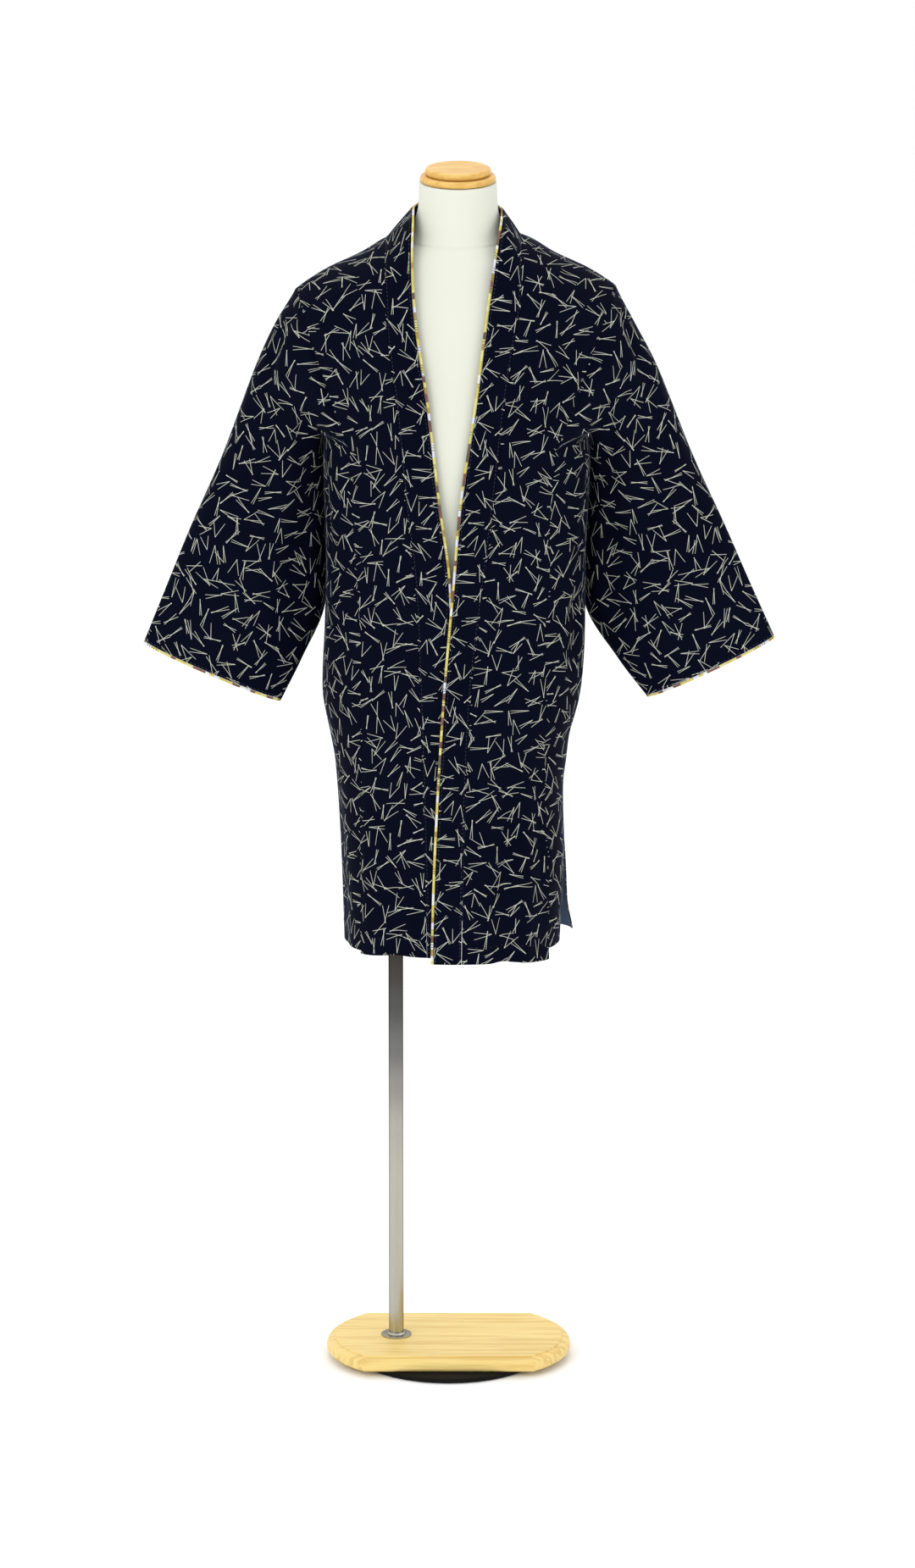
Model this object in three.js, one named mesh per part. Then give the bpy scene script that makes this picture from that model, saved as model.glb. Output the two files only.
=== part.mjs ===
// A happi coat, worn open down the front, on a limbless dress form that stands on a pole and board.
// Millimetres, +Z up. The front faces -Y and the wearer's left is +X. The origin is on the floor,
// under the middle of the board. Coat and form are drawn about the form's own upright axis.
import * as THREE from 'three';

// ---- Stand ----
const FORM_AXIS_X = 12;
const JOINT_GAP = 0.3;
const BASE_DISC = { radius: 122, height: 7, bottomEdge: 1.8, topEdge: 3, crown: 9 };
const BOARD = {
  bottom: BASE_DISC.height + JOINT_GAP,
  top: 25.9,
  halfDepth: 98,
  halfLength: 158,
  endRadius: 124,
};
const POLE = { x: -80, radius: 9.5 };
const FLANGE = { radius: 19.5, plate: 1.6, bossRadius: 12.5, bossTaper: 1.5, bossHeight: 5, edge: 0.5 };
const FORM_BOTTOM = 862;
const NECK_TOP = 1560.7;
const CAP_RIM = { radius: 48, bottom: NECK_TOP + JOINT_GAP, height: 8.7 };
const CAP_DISC = { radius: 41.7, bottom: CAP_RIM.bottom + CAP_RIM.height + JOINT_GAP, height: 9 };
const CAP_EDGE = 0.4; // radius of a cap piece's rounded edges, as a share of its height
const EDGE_MIDDLE = 0.32; // how near the corner a rounded edge's middle comes, as a share of its radius

// ---- Coat ----
const CLOTH = 1.6;
const BAND_CLOTH = 3;
const BAND_PROUD = 0.7;
const PIPING = { width: 3.5, thickness: 2.2 };
const CUFF_EDGING = { width: 3.2, thickness: 2, proud: 0.3 };
const SEAM_GAP = 0.4;
const UNDERARM = 1235;
const VENT_TOP = 745;
const LOWEST_HEM = 551;
const VENT_TIP = 605; // below this height the back flares at its vent corner
const SHOULDER_ROUND = 62; // how far below the shoulder line the cloth turns upright
const SECTION_SQUARENESS = 0.8; // 1 draws a level section as an ellipse, less makes it squarer
const NECK_SEAM_REACH = { right: 92, left: 80 };
const BACK_BAND = {
  ahead: 0.14,
  inward: { right: 0.39, left: 0.31 },
  rise: { right: 43, left: 36, nape: 41 },
};
const ARMHOLE_CURVE = 0.8;
const SHOULDER_REACH = { right: 203, left: 197 };

// The left front lies over the right one by this much, from its band outwards and below the crossing.
const OVERLAP = { lift: 4.8, fullReach: 32, endReach: 72, fullHeight: 1060, endHeight: 1160 };

// Hem heights: in the middle of the front and back, and on both cloths where side seams meet the hem.
const HEM = {
  right: { front: 573, frontSide: 567, panelFront: 571, panelBack: 565, backSide: 556, back: LOWEST_HEM },
  left: { front: 566, frontSide: 557.5, panelFront: 572, panelBack: 568, backSide: 561, back: LOWEST_HEM },
};

// Side vents: how far the back's edge stands off at the hem, how much more at its corner, and how far
// the side panel's edge draws in.
const VENT_SPREAD = {
  right: { back: 3, tip: 0, panel: -1.5 },
  left: { back: 17.5, tip: 6.5, panel: -5 },
};

// Level sections of the coat's body: its reach to the wearer's right, left, front and back.
const BODY_SECTIONS = [
  { height: 540, right: 147, left: 132, front: 122, back: 119 },
  { height: 560, right: 147, left: 132, front: 122, back: 118 },
  { height: 675, right: 150, left: 137, front: 114, back: 112 },
  { height: 742, right: 153, left: 135, front: 112, back: 110 },
  { height: 775, right: 155, left: 135, front: 112, back: 110 },
  { height: 810, right: 158, left: 139, front: 113, back: 110 },
  { height: 844, right: 164, left: 143, front: 115, back: 112 },
  { height: 868, right: 169, left: 149, front: 117, back: 114 },
  { height: 892, right: 173, left: 155, front: 118, back: 116 },
  { height: 925, right: 173, left: 159, front: 118, back: 116 },
  { height: 985, right: 170, left: 162, front: 115, back: 111 },
  { height: 1080, right: 168, left: 163, front: 113, back: 106 },
  { height: 1180, right: 168, left: 164, front: 117, back: 108 },
  { height: 1235, right: 169, left: 165, front: 118, back: 110 },
  { height: 1264, right: 174, left: 171, front: 116, back: 110 },
  { height: 1300, right: 184, left: 180, front: 112, back: 109 },
  { height: 1340, right: 198, left: 194, front: 105, back: 106 },
  { height: 1380, right: 215, left: 211, front: 95, back: 101 },
  { height: 1423, right: 225, left: 222, front: 84, back: 97 },
  { height: 1500, right: 232, left: 230, front: 74, back: 95 },
];

// The shoulder line: its height at each reach from the neck out to the armhole.
const SHOULDER_LINE = [
  { reach: 0, height: 1502 },
  { reach: 60, height: 1495 },
  { reach: 92, height: 1485 },
  { reach: 122, height: 1467 },
  { reach: 167, height: 1446 },
  { reach: 203, height: 1423 },
  { reach: 230, height: 1400 },
];

// Where the side panels are sewn to the fronts, in degrees round from the middle of the front.
const SIDE_SEAMS = [
  { height: 540, right: 55, left: 60 },
  { height: 680, right: 52, left: 54 },
  { height: 765, right: 50, left: 52 },
  { height: 850, right: 44, left: 46 },
  { height: 900, right: 41, left: 42 },
  { height: 980, right: 42, left: 38 },
  { height: 1070, right: 46, left: 41 },
  { height: 1160, right: 50, left: 40 },
  { height: 1235, right: 51, left: 44 },
];
// Where they are sewn to the backs, in degrees round from the middle of the back. The lower end is at
// the top of the vent.
const BACK_SIDE_SEAM = { underarm: 50, vent: 72 };

// The collar band down each front: x of the seam that joins it to the front, and of the opening's edge.
const BAND_ROWS = [
  { height: 540, rightSeam: -39, rightEdge: 2, leftSeam: 4, leftEdge: -35 },
  { height: 643, rightSeam: -41, rightEdge: 0, leftSeam: 6, leftEdge: -33 },
  { height: 750, rightSeam: -44, rightEdge: -3, leftSeam: 9, leftEdge: -29 },
  { height: 923, rightSeam: -49, rightEdge: -8, leftSeam: 17, leftEdge: -19 },
  { height: 1065, rightSeam: -55, rightEdge: -14, leftSeam: 33, leftEdge: -9 },
  { height: 1165, rightSeam: -66, rightEdge: -24, leftSeam: 45, leftEdge: -1 },
  { height: 1301, rightSeam: -79, rightEdge: -37, leftSeam: 60, leftEdge: 21 },
  { height: 1378, rightSeam: -89, rightEdge: -49, leftSeam: 72, leftEdge: 31 },
  { height: 1417, rightSeam: -91, rightEdge: -54, leftSeam: 79, leftEdge: 37 },
  { height: 1451, rightSeam: -92, rightEdge: -57, leftSeam: 80, leftEdge: 45 },
  { height: 1485, rightSeam: -92, rightEdge: -56, leftSeam: 80, leftEdge: 55 },
];
const BAND_STANDS_FROM = 1360; // above this height the band rises off the shoulder towards the neck

// Each sleeve's folded top edge and its underside, from the armhole (along 0) to the cuff (along 1), half
// its depth, and how far back the underside lies.
const SLEEVE_ROWS = {
  right: [
    { along: 0, topReach: 206, topHeight: 1419, underReach: 173, underHeight: 1243, depth: 72, back: 0 },
    { along: 0.08, topReach: 216, topHeight: 1402, underReach: 174, underHeight: 1238, depth: 68, back: 3 },
    { along: 0.16, topReach: 232, topHeight: 1376, underReach: 173, underHeight: 1226, depth: 63, back: 12 },
    { along: 0.3, topReach: 257, topHeight: 1320, underReach: 170, underHeight: 1185, depth: 58, back: 30 },
    { along: 0.5, topReach: 299, topHeight: 1206, underReach: 167, underHeight: 1096, depth: 53, back: 40 },
    { along: 0.7, topReach: 341, topHeight: 1109, underReach: 170, underHeight: 998, depth: 43, back: 36 },
    { along: 0.85, topReach: 371, topHeight: 1034, underReach: 198, underHeight: 936, depth: 33, back: 16 },
    { along: 1, topReach: 400, topHeight: 961, underReach: 225, underHeight: 884, depth: 24, back: 0 },
  ],
  left: [
    { along: 0, topReach: 200, topHeight: 1421, underReach: 169, underHeight: 1243, depth: 72, back: 0 },
    { along: 0.08, topReach: 210, topHeight: 1402, underReach: 169.5, underHeight: 1238, depth: 68, back: 0 },
    { along: 0.16, topReach: 224, topHeight: 1377, underReach: 170, underHeight: 1226, depth: 63, back: 3 },
    { along: 0.3, topReach: 253, topHeight: 1320, underReach: 168, underHeight: 1185, depth: 58, back: 24 },
    { along: 0.5, topReach: 298, topHeight: 1206, underReach: 162, underHeight: 1100, depth: 53, back: 40 },
    { along: 0.7, topReach: 341, topHeight: 1110, underReach: 162, underHeight: 1000, depth: 43, back: 36 },
    { along: 0.85, topReach: 372, topHeight: 1038, underReach: 203, underHeight: 935, depth: 33, back: 16 },
    { along: 1, topReach: 403, topHeight: 968, underReach: 240, underHeight: 889, depth: 24, back: 0 },
  ],
};
const SLEEVE_START = { step: 4, settledFrom: -0.06, settledBy: 0.2 };

// Large soft folds in the body, as troughs (depth below 0) and ridges: degrees round from the middle
// of the front (right is below 0), how that changes by the fold's lower end, and its height range.
const BODY_FOLDS = [
  { turn: 24, drift: -4, top: 900, bottom: 540, halfWidth: 5, depth: -6 },
  { turn: 34, drift: 2, top: 880, bottom: 540, halfWidth: 6, depth: 4 },
  { turn: 38, drift: 3, top: 1420, bottom: 1280, halfWidth: 6, depth: -4 },
  { turn: 66, drift: -3, top: 1120, bottom: 860, halfWidth: 8, depth: -4 },
  { turn: -30, drift: 3, top: 880, bottom: 540, halfWidth: 6, depth: -4.5 },
  { turn: -48, drift: -4, top: 1330, bottom: 1000, halfWidth: 6, depth: -4 },
  { turn: -80, drift: 4, top: 860, bottom: 540, halfWidth: 8, depth: -3.5 },
  { turn: -38, drift: 5, top: 1425, bottom: 1260, halfWidth: 6, depth: -3.5 },
  { turn: 128, drift: 6, top: 1150, bottom: 800, halfWidth: 8, depth: -5 },
  { turn: 152, drift: -4, top: 930, bottom: 540, halfWidth: 8, depth: -8 },
  { turn: 168, drift: 3, top: 900, bottom: 540, halfWidth: 7, depth: 5 },
  { turn: -170, drift: 5, top: 940, bottom: 540, halfWidth: 8, depth: -7 },
  { turn: -146, drift: 8, top: 1180, bottom: 700, halfWidth: 8, depth: -6 },
  { turn: -120, drift: -3, top: 900, bottom: 540, halfWidth: 7, depth: 4 },
];

// Large soft folds in each sleeve: degrees round from its top edge, past its front, at the fold's two
// ends, where they lie along the sleeve, and how deep and wide the fold is.
const SLEEVE_FOLDS = [
  { start: 20, end: 62, from: 0.04, to: 0.5, halfWidth: 13, depth: -6 },
  { start: 58, end: 100, from: 0.08, to: 0.75, halfWidth: 15, depth: -6 },
  { start: 118, end: 128, from: 0.2, to: 0.9, halfWidth: 15, depth: -5 },
  { start: 332, end: 296, from: 0.05, to: 0.55, halfWidth: 14, depth: -6 },
  { start: 300, end: 256, from: 0.1, to: 0.8, halfWidth: 16, depth: -6 },
  { start: 236, end: 226, from: 0.25, to: 0.95, halfWidth: 15, depth: -5 },
];

// Level sections of the dress form: smooth, without limbs, closed flat under the hips.
const FORM_SECTIONS = [
  { height: 862, right: 150, left: 129, front: 99, back: 97 },
  { height: 864, right: 154, left: 133, front: 103, back: 101 },
  { height: 872, right: 159, left: 139, front: 107, back: 105 },
  { height: 890, right: 164, left: 146, front: 110, back: 108 },
  { height: 925, right: 164, left: 149, front: 110, back: 108 },
  { height: 985, right: 154, left: 144, front: 105, back: 102 },
  { height: 1060, right: 138, left: 131, front: 99, back: 92 },
  { height: 1120, right: 140, left: 135, front: 101, back: 92 },
  { height: 1190, right: 150, left: 146, front: 108, back: 97 },
  { height: 1250, right: 156, left: 152, front: 109, back: 100 },
  { height: 1310, right: 163, left: 159, front: 101, back: 99 },
  { height: 1360, right: 176, left: 170, front: 91, back: 90 },
  { height: 1395, right: 189, left: 183, front: 82, back: 76 },
  { height: 1418, right: 189, left: 183, front: 76, back: 66 },
  { height: 1436, right: 178, left: 172, front: 72, back: 62 },
  { height: 1451, right: 151, left: 148, front: 69, back: 60 },
  { height: 1466, right: 119, left: 118, front: 66, back: 58 },
  { height: 1477, right: 91, left: 87, front: 63, back: 56 },
  { height: 1486, right: 70, left: 69, front: 60, back: 54 },
  { height: 1495, right: 61, left: 60, front: 57, back: 53 },
  { height: 1504, right: 57, left: 56, front: 55, back: 52 },
  { height: 1514, right: 54, left: 53.5, front: 53, back: 51 },
  { height: 1522, right: 51.6, left: 51.3, front: 51.5, back: 50.5 },
  { height: 1530, right: 50.1, left: 50.1, front: 50.5, back: 50.2 },
  { height: NECK_TOP, right: 49, left: 49, front: 49, back: 49 },
];

// Routed edge of the board: how far the outline draws in at each height.
const BOARD_PROFILE = [
  { height: BOARD.bottom, inset: 3 },
  { height: BOARD.bottom + 2.2, inset: 0.6 },
  { height: BOARD.bottom + 4.5, inset: 0 },
  { height: BOARD.bottom + 10, inset: 0.4 },
  { height: BOARD.bottom + 13.5, inset: 2.4 },
  { height: BOARD.bottom + 15.6, inset: 6 },
  { height: BOARD.bottom + 16.4, inset: 10.5 },
  { height: BOARD.top - 0.4, inset: 11 },
  { height: BOARD.top, inset: 11.6 },
];

// ---- How finely the solids are drawn ----
const VENT_ROWS = 4; // hem to the top of the side vents
const LOWER_ROWS = 15; // hem to underarm
const UPPER_ROWS = 12; // underarm to shoulder line
const NECK_ROWS = 4; // shoulder line to the nape, along the neck seam
const BODY_COLUMNS = 7;
const PANEL_COLUMNS = 4;
const SLEEVE_RINGS = 12;
const RING_SPACING = 1.4; // above 1, the rings crowd together towards the armhole
const FORM_POINTS = 28;
const ROUND_SIDES = 32;
const DISC_SIDES = 40;
const BOARD_END_STEPS = 12;

const MATERIALS = {
  printedCloth: new THREE.MeshStandardMaterial({ color: '#141b38', roughness: 0.9, metalness: 0 }),
  edging: new THREE.MeshStandardMaterial({ color: '#cdb56a', roughness: 0.8, metalness: 0 }),
  formCover: new THREE.MeshStandardMaterial({ color: '#eeebdd', roughness: 0.85, metalness: 0 }),
  capWood: new THREE.MeshStandardMaterial({ color: '#d9a25a', roughness: 0.45, metalness: 0 }),
  boardWood: new THREE.MeshStandardMaterial({ color: '#e6c388', roughness: 0.5, metalness: 0 }),
  steel: new THREE.MeshStandardMaterial({ color: '#c4c1ba', roughness: 0.25, metalness: 1 }),
  blackPlate: new THREE.MeshStandardMaterial({ color: '#1a1a1c', roughness: 0.5, metalness: 0 }),
};

const RIGHT = -1;
const LEFT = 1;
const FRONT = -1;
const BACK = 1;
const sideName = (side) => (side === RIGHT ? 'right' : 'left');
const radians = THREE.MathUtils.degToRad;
const degrees = THREE.MathUtils.radToDeg;
const mix = THREE.MathUtils.lerp;
const smooth = THREE.MathUtils.smoothstep;

// ---- Tables ----

// Reads a table where its key column has the value at: every other column is a smooth curve
// through its rows, and holds its end values outside them.
function readTable(rows, key, at) {
  const last = rows.length - 1;
  const value = THREE.MathUtils.clamp(at, rows[0][key], rows[last][key]);
  let low = 0;
  while (low < last - 1 && rows[low + 1][key] < value) low += 1;
  const span = rows[low + 1][key] - rows[low][key];
  const t = (value - rows[low][key]) / span;
  const found = {};
  for (const column of Object.keys(rows[0])) {
    const slopeAt = (row) => {
      const before = rows[Math.max(row - 1, 0)];
      const after = rows[Math.min(row + 1, last)];
      return (span * (after[column] - before[column])) / (after[key] - before[key]);
    };
    const start = rows[low][column];
    const end = rows[low + 1][column];
    const square = t * t;
    const cube = square * t;
    found[column] =
      (2 * cube - 3 * square + 1) * start +
      (cube - 2 * square + t) * slopeAt(low) +
      (3 * square - 2 * cube) * end +
      (cube - square) * slopeAt(low + 1);
  }
  return found;
}

const shoulderHeight = (x) => readTable(SHOULDER_LINE, 'reach', Math.abs(x)).height;

// ---- The coat's body surface ----

// Large folds: how far the surface moves outwards at this place round the body.
function bodyFold(turn, height) {
  let moved = 0;
  for (const fold of BODY_FOLDS) {
    const down = (fold.top - height) / (fold.top - fold.bottom);
    if (down <= 0 || down > 1.2) continue;
    const away = THREE.MathUtils.euclideanModulo(turn - fold.turn - fold.drift * down + 180, 360) - 180;
    const openEnd = fold.bottom <= LOWEST_HEM;
    const along = openEnd ? smooth(down, 0, 0.6) : Math.sin(Math.PI * Math.min(down, 1));
    moved += fold.depth * along * Math.exp(-((away / fold.halfWidth) ** 2));
  }
  return moved;
}

// How far the front or back stands from the middle at x, as a share of its full depth.
function sectionShare(x, reach) {
  const across = Math.min(Math.abs(x) / reach, 1);
  return (1 - across ** (2 / SECTION_SQUARENESS)) ** (SECTION_SQUARENESS / 2);
}

// 0 on the shoulder line, rising to 1 where the cloth hangs upright below it.
function shoulderShare(drop) {
  const left = 1 - THREE.MathUtils.clamp(drop / SHOULDER_ROUND, 0, 1);
  return Math.sqrt(1 - left * left);
}

// Degrees round from the middle of a face at x, from 0 to 90.
function sweepOf(x, reach) {
  return degrees(Math.asin(Math.min(Math.abs(x) / reach, 1) ** (1 / SECTION_SQUARENESS)));
}

// How far the upper of two overlapping fronts stands off the lower.
function overlapLift(side, face, x, height) {
  if (side === RIGHT || face === BACK) return 0;
  const near = 1 - smooth(x, OVERLAP.fullReach, OVERLAP.endReach);
  const low = 1 - smooth(height, OVERLAP.fullHeight, OVERLAP.endHeight);
  return OVERLAP.lift * near * low;
}

// A place on the body: its point, and the direction straight out of the cloth.
// The drop below the shoulder line may be given, for cloth that leaves the body's own surface.
function bodyPlace(side, face, x, height, lift = 0, drop = shoulderHeight(x) - height) {
  const section = readTable(BODY_SECTIONS, 'height', height);
  const reach = x < 0 ? section.right : section.left;
  const depth = face === FRONT ? section.front : section.back;
  const share = sectionShare(x, reach);
  const round = shoulderShare(drop);
  const sweep = radians(sweepOf(x, reach));
  const turn = Math.sign(x) * (face === FRONT ? degrees(sweep) : 180 - degrees(sweep));
  const flatX = Math.sin(sweep) ** (2 - SECTION_SQUARENESS) / reach;
  const flatY = Math.cos(sweep) ** (2 - SECTION_SQUARENESS) / depth;
  const level = new THREE.Vector3(Math.sign(x) * flatX, face * flatY, 0).normalize();
  const slope = shoulderHeight(Math.abs(x) + 1) - shoulderHeight(x); // per millimetre outwards
  const up = new THREE.Vector3(-Math.sign(x) * slope, 0, 1).normalize();
  const rest = 1 - THREE.MathUtils.clamp(drop / SHOULDER_ROUND, 0, 1);
  const out = level.multiplyScalar(round).addScaledVector(up, rest).normalize();
  const away = lift + bodyFold(turn, height) * round + overlapLift(side, face, x, height);
  const point = new THREE.Vector3(x, face * depth * share * round, height).addScaledVector(out, away);
  return { point, out };
}

// The same, by degrees round from the middle of the front (0) to the middle of the back (180).
function bodyPlaceByTurn(side, turn, height, lift = 0) {
  const face = turn < 90 ? FRONT : BACK;
  const sweep = radians(face === FRONT ? turn : 180 - turn);
  const section = readTable(BODY_SECTIONS, 'height', height);
  const reach = side === RIGHT ? section.right : section.left;
  const depth = face === FRONT ? section.front : section.back;
  const across = Math.sin(sweep);
  const ahead = Math.cos(sweep);
  const x = side * reach * across ** SECTION_SQUARENESS;
  const y = face * depth * ahead ** SECTION_SQUARENESS;
  const flatX = across ** (2 - SECTION_SQUARENESS) / reach;
  const flatY = ahead ** (2 - SECTION_SQUARENESS) / depth;
  const out = new THREE.Vector3(side * flatX, face * flatY, 0).normalize();
  const away = lift + bodyFold(side * turn, height) + overlapLift(side, face, x, height);
  return { point: new THREE.Vector3(x, y, height).addScaledVector(out, away), out };
}

// Height of a body half's hem, from its inner edge (u = 0) to its side seam (u = 1).
function hemHeight(side, face, u = 0) {
  const hem = HEM[sideName(side)];
  const toSide = smooth(u, 0.3, 1);
  return face === BACK ? mix(hem.back, hem.backSide, toSide) : mix(hem.front, hem.frontSide, toSide);
}


// Height of a lower row (0 at the hem, LOWER_ROWS at the underarm). Above the vents all pieces share
// the rows' heights, so that seams meet.
function lowerHeight(hem, row) {
  if (row < VENT_ROWS) return mix(hem, VENT_TOP, row / VENT_ROWS);
  return mix(VENT_TOP, UNDERARM, (row - VENT_ROWS) / (LOWER_ROWS - VENT_ROWS));
}

// Height at x of an upper row (0 at the underarm, UPPER_ROWS on the shoulder line). The rows crowd
// together towards the shoulder line, where the cloth turns.
function upperHeight(x, row) {
  const top = shoulderHeight(x);
  return top - (top - UNDERARM) * (1 - row / UPPER_ROWS) ** 2;
}

// Degrees round to the side seam, from the middle of the front or of the back.
function sideSeam(side, face, height) {
  if (face === FRONT) return readTable(SIDE_SEAMS, 'height', height)[sideName(side)];
  return mix(BACK_SIDE_SEAM.vent, BACK_SIDE_SEAM.underarm, smooth(height, VENT_TOP, UNDERARM));
}

// x of the armhole seam on an upper row.
function armholeX(side, face, row) {
  const name = sideName(side);
  const reach = readTable(BODY_SECTIONS, 'height', UNDERARM)[name];
  const under = reach * Math.sin(radians(sideSeam(side, face, UNDERARM))) ** SECTION_SQUARENESS;
  const climbed = 1 - (1 - row / UPPER_ROWS) ** 2;
  return side * mix(under, SHOULDER_REACH[name], climbed ** ARMHOLE_CURVE);
}

// x of the body's inner edge: the band's seam on the front, the neck seam or centre seam on the back.
function innerX(side, face, height, upperRow = 0) {
  const name = sideName(side);
  if (face === FRONT) return readTable(BAND_ROWS, 'height', height)[`${name}Seam`];
  const fromShoulder = (UPPER_ROWS - upperRow) / NECK_ROWS;
  return side * NECK_SEAM_REACH[name] * Math.cos((Math.PI / 2) * Math.min(fromShoulder, 1));
}

// The place on the inner edge at an upper row.
function innerUpperPlace(side, face, row) {
  let height = upperHeight(innerX(side, face, BAND_ROWS.at(-1).height, row), row);
  let x = innerX(side, face, height, row);
  height = upperHeight(x, row);
  x = innerX(side, face, height, row);
  return { x, height };
}

// Half the seam gap, taken off each edge of a piece.
const HALF_GAP = SEAM_GAP / 2;

// Vent below VENT_TOP: how far an edge beside it has moved by this height.
const ventShare = (height) => smooth(VENT_TOP - height, 0, VENT_TOP - LOWEST_HEM);

// How far the back stands off at its vent edge: more and more down the vent, with a flare at the corner.
function backSpread(side, height) {
  const { back, tip } = VENT_SPREAD[sideName(side)];
  const opened = Math.max(VENT_TOP - height, 0) / (VENT_TOP - LOWEST_HEM);
  return back * opened + tip * smooth(VENT_TIP - height, 0, VENT_TIP - LOWEST_HEM);
}


// One row of body places from the inner edge to the side seam or armhole.
function bodyRow(side, face, row) {
  const places = [];
  const upper = row - LOWER_ROWS;
  for (let column = 0; column <= BODY_COLUMNS; column += 1) {
    const u = column / BODY_COLUMNS;
    if (upper > 0) {
      const inner = innerUpperPlace(side, face, upper).x;
      const onCentre = face === BACK && upper <= UPPER_ROWS - NECK_ROWS;
      const first = inner + side * (onCentre ? HALF_GAP : 0);
      const x = mix(first, armholeX(side, face, upper) - side * HALF_GAP, u);
      places.push(bodyPlace(side, face, x, upperHeight(x, upper)));
    } else {
      const height = lowerHeight(hemHeight(side, face, u), row);
      const section = readTable(BODY_SECTIONS, 'height', height);
      const reach = section[sideName(side)];
      const gapTurn = degrees(HALF_GAP / reach);
      const seamX = innerX(side, face, height);
      const startX = face === FRONT ? seamX : side * HALF_GAP;
      const start = sweepOf(startX, startX < 0 ? section.right : section.left) * Math.sign(startX) * side;
      const sweep = mix(start, sideSeam(side, face, height) - gapTurn, u);
      const lift = face === BACK ? backSpread(side, height) * smooth(u, 0.45, 1) : 0;
      const turn = face === FRONT ? sweep : 180 - sweep;
      const crossed = sweep < 0;
      const place = crossed
        ? bodyPlace(side, face, startX, height, lift)
        : bodyPlaceByTurn(side, turn, height, lift);
      places.push(place);
    }
  }
  return places;
}

const BODY_ROWS = LOWER_ROWS + UPPER_ROWS;

// The whole length of one body half: up the front, over the shoulder and down the back.
function bodyRows(side) {
  const rows = [];
  for (let row = 0; row < BODY_ROWS; row += 1) rows.push(bodyRow(side, FRONT, row));
  for (let row = BODY_ROWS; row >= 0; row -= 1) rows.push(bodyRow(side, BACK, row));
  return rows;
}

// Turn at a column of the side panel, from its front seam to its back seam, less half a gap at each.
function panelTurn(side, height, column) {
  const gapTurn = degrees(HALF_GAP / BODY_SECTIONS[0].right);
  const first = sideSeam(side, FRONT, height);
  const last = 180 - sideSeam(side, BACK, height);
  const turn = mix(first, last, column / PANEL_COLUMNS);
  if (column === 0) return turn + gapTurn;
  return column === PANEL_COLUMNS ? turn - gapTurn : turn;
}

function panelRows(side) {
  const hem = HEM[sideName(side)];
  const rows = [];
  for (let row = 0; row <= LOWER_ROWS; row += 1) {
    const places = [];
    for (let column = 0; column <= PANEL_COLUMNS; column += 1) {
      const u = column / PANEL_COLUMNS;
      const level = lowerHeight(mix(hem.panelFront, hem.panelBack, u), row);
      const height = row === LOWER_ROWS ? level - HALF_GAP : level;
      const lift = ventShare(height) * smooth(u, 0.3, 1) * VENT_SPREAD[sideName(side)].panel;
      places.push(bodyPlaceByTurn(side, panelTurn(side, height, column), height, lift));
    }
    rows.push(places);
  }
  return rows;
}

// ---- Collar band ----

// The band's own free edge: the opening's edge less the piping that lies beyond it.
function beforePiping(seam, edge) {
  const inward = seam.clone().sub(edge).normalize();
  return edge.clone().addScaledVector(inward, PIPING.width + SEAM_GAP);
}

// One crosswise station of the band: the seam place and the free edge's point.
function bandStation(side, face, row) {
  const name = sideName(side);
  const upper = row - LOWER_ROWS;
  const lower = upper <= 0;
  const level = lowerHeight(hemHeight(side, face), row);
  const lowerInner = { x: innerX(side, face, level), height: level };
  const inner = lower ? lowerInner : innerUpperPlace(side, face, upper);
  const seam = bodyPlace(side, face, inner.x, inner.height);
  if (face === BACK) {
    const edge = seam.point.clone();
    edge.x *= 1 - BACK_BAND.inward[name];
    edge.y *= 1 - BACK_BAND.ahead;
    const toNape = (UPPER_ROWS - upper) / NECK_ROWS;
    edge.z += mix(BACK_BAND.rise[name], BACK_BAND.rise.nape, toNape);
    return { seam, edge: beforePiping(seam.point, edge) };
  }
  const edgeX = readTable(BAND_ROWS, 'height', inner.height)[`${name}Edge`];
  const drop = shoulderHeight(inner.x) - inner.height;
  const edge = bodyPlace(side, face, edgeX, inner.height, 0, drop).point;
  const stands = smooth(inner.height, BAND_STANDS_FROM, shoulderHeight(inner.x)) ** 2;
  edge.z += BACK_BAND.rise[name] * stands;
  return { seam, edge: beforePiping(seam.point, edge) };
}

// Every station of the band, from the right front's hem round the neck to the left front's hem.
function bandStations() {
  const half = (side) => {
    const stations = [];
    for (let row = 0; row <= BODY_ROWS; row += 1) stations.push(bandStation(side, FRONT, row));
    for (let row = 1; row < NECK_ROWS; row += 1) stations.push(bandStation(side, BACK, BODY_ROWS - row));
    return stations;
  };
  const nape = bandStation(RIGHT, BACK, BODY_ROWS - NECK_ROWS);
  return [...half(RIGHT), nape, ...half(LEFT).reverse()];
}

// ---- Walls ----

// Outward directions of a grid of points, from its neighbours. around says the columns close, and
// handed is -1 where the columns run the other way round.
function gridOut(points, around = false, handed = 1) {
  const rows = points.length;
  const columns = points[0].length;
  const at = (row, column) => {
    const r = THREE.MathUtils.clamp(row, 0, rows - 1);
    const c = around ? (column + columns) % columns : THREE.MathUtils.clamp(column, 0, columns - 1);
    return points[r][c];
  };
  return points.map((line, r) =>
    line.map((_, c) => {
      const along = at(r + 1, c).clone().sub(at(r - 1, c));
      const across = at(r, c + 1).clone().sub(at(r, c - 1));
      return across.cross(along).normalize().multiplyScalar(handed);
    }),
  );
}

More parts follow.
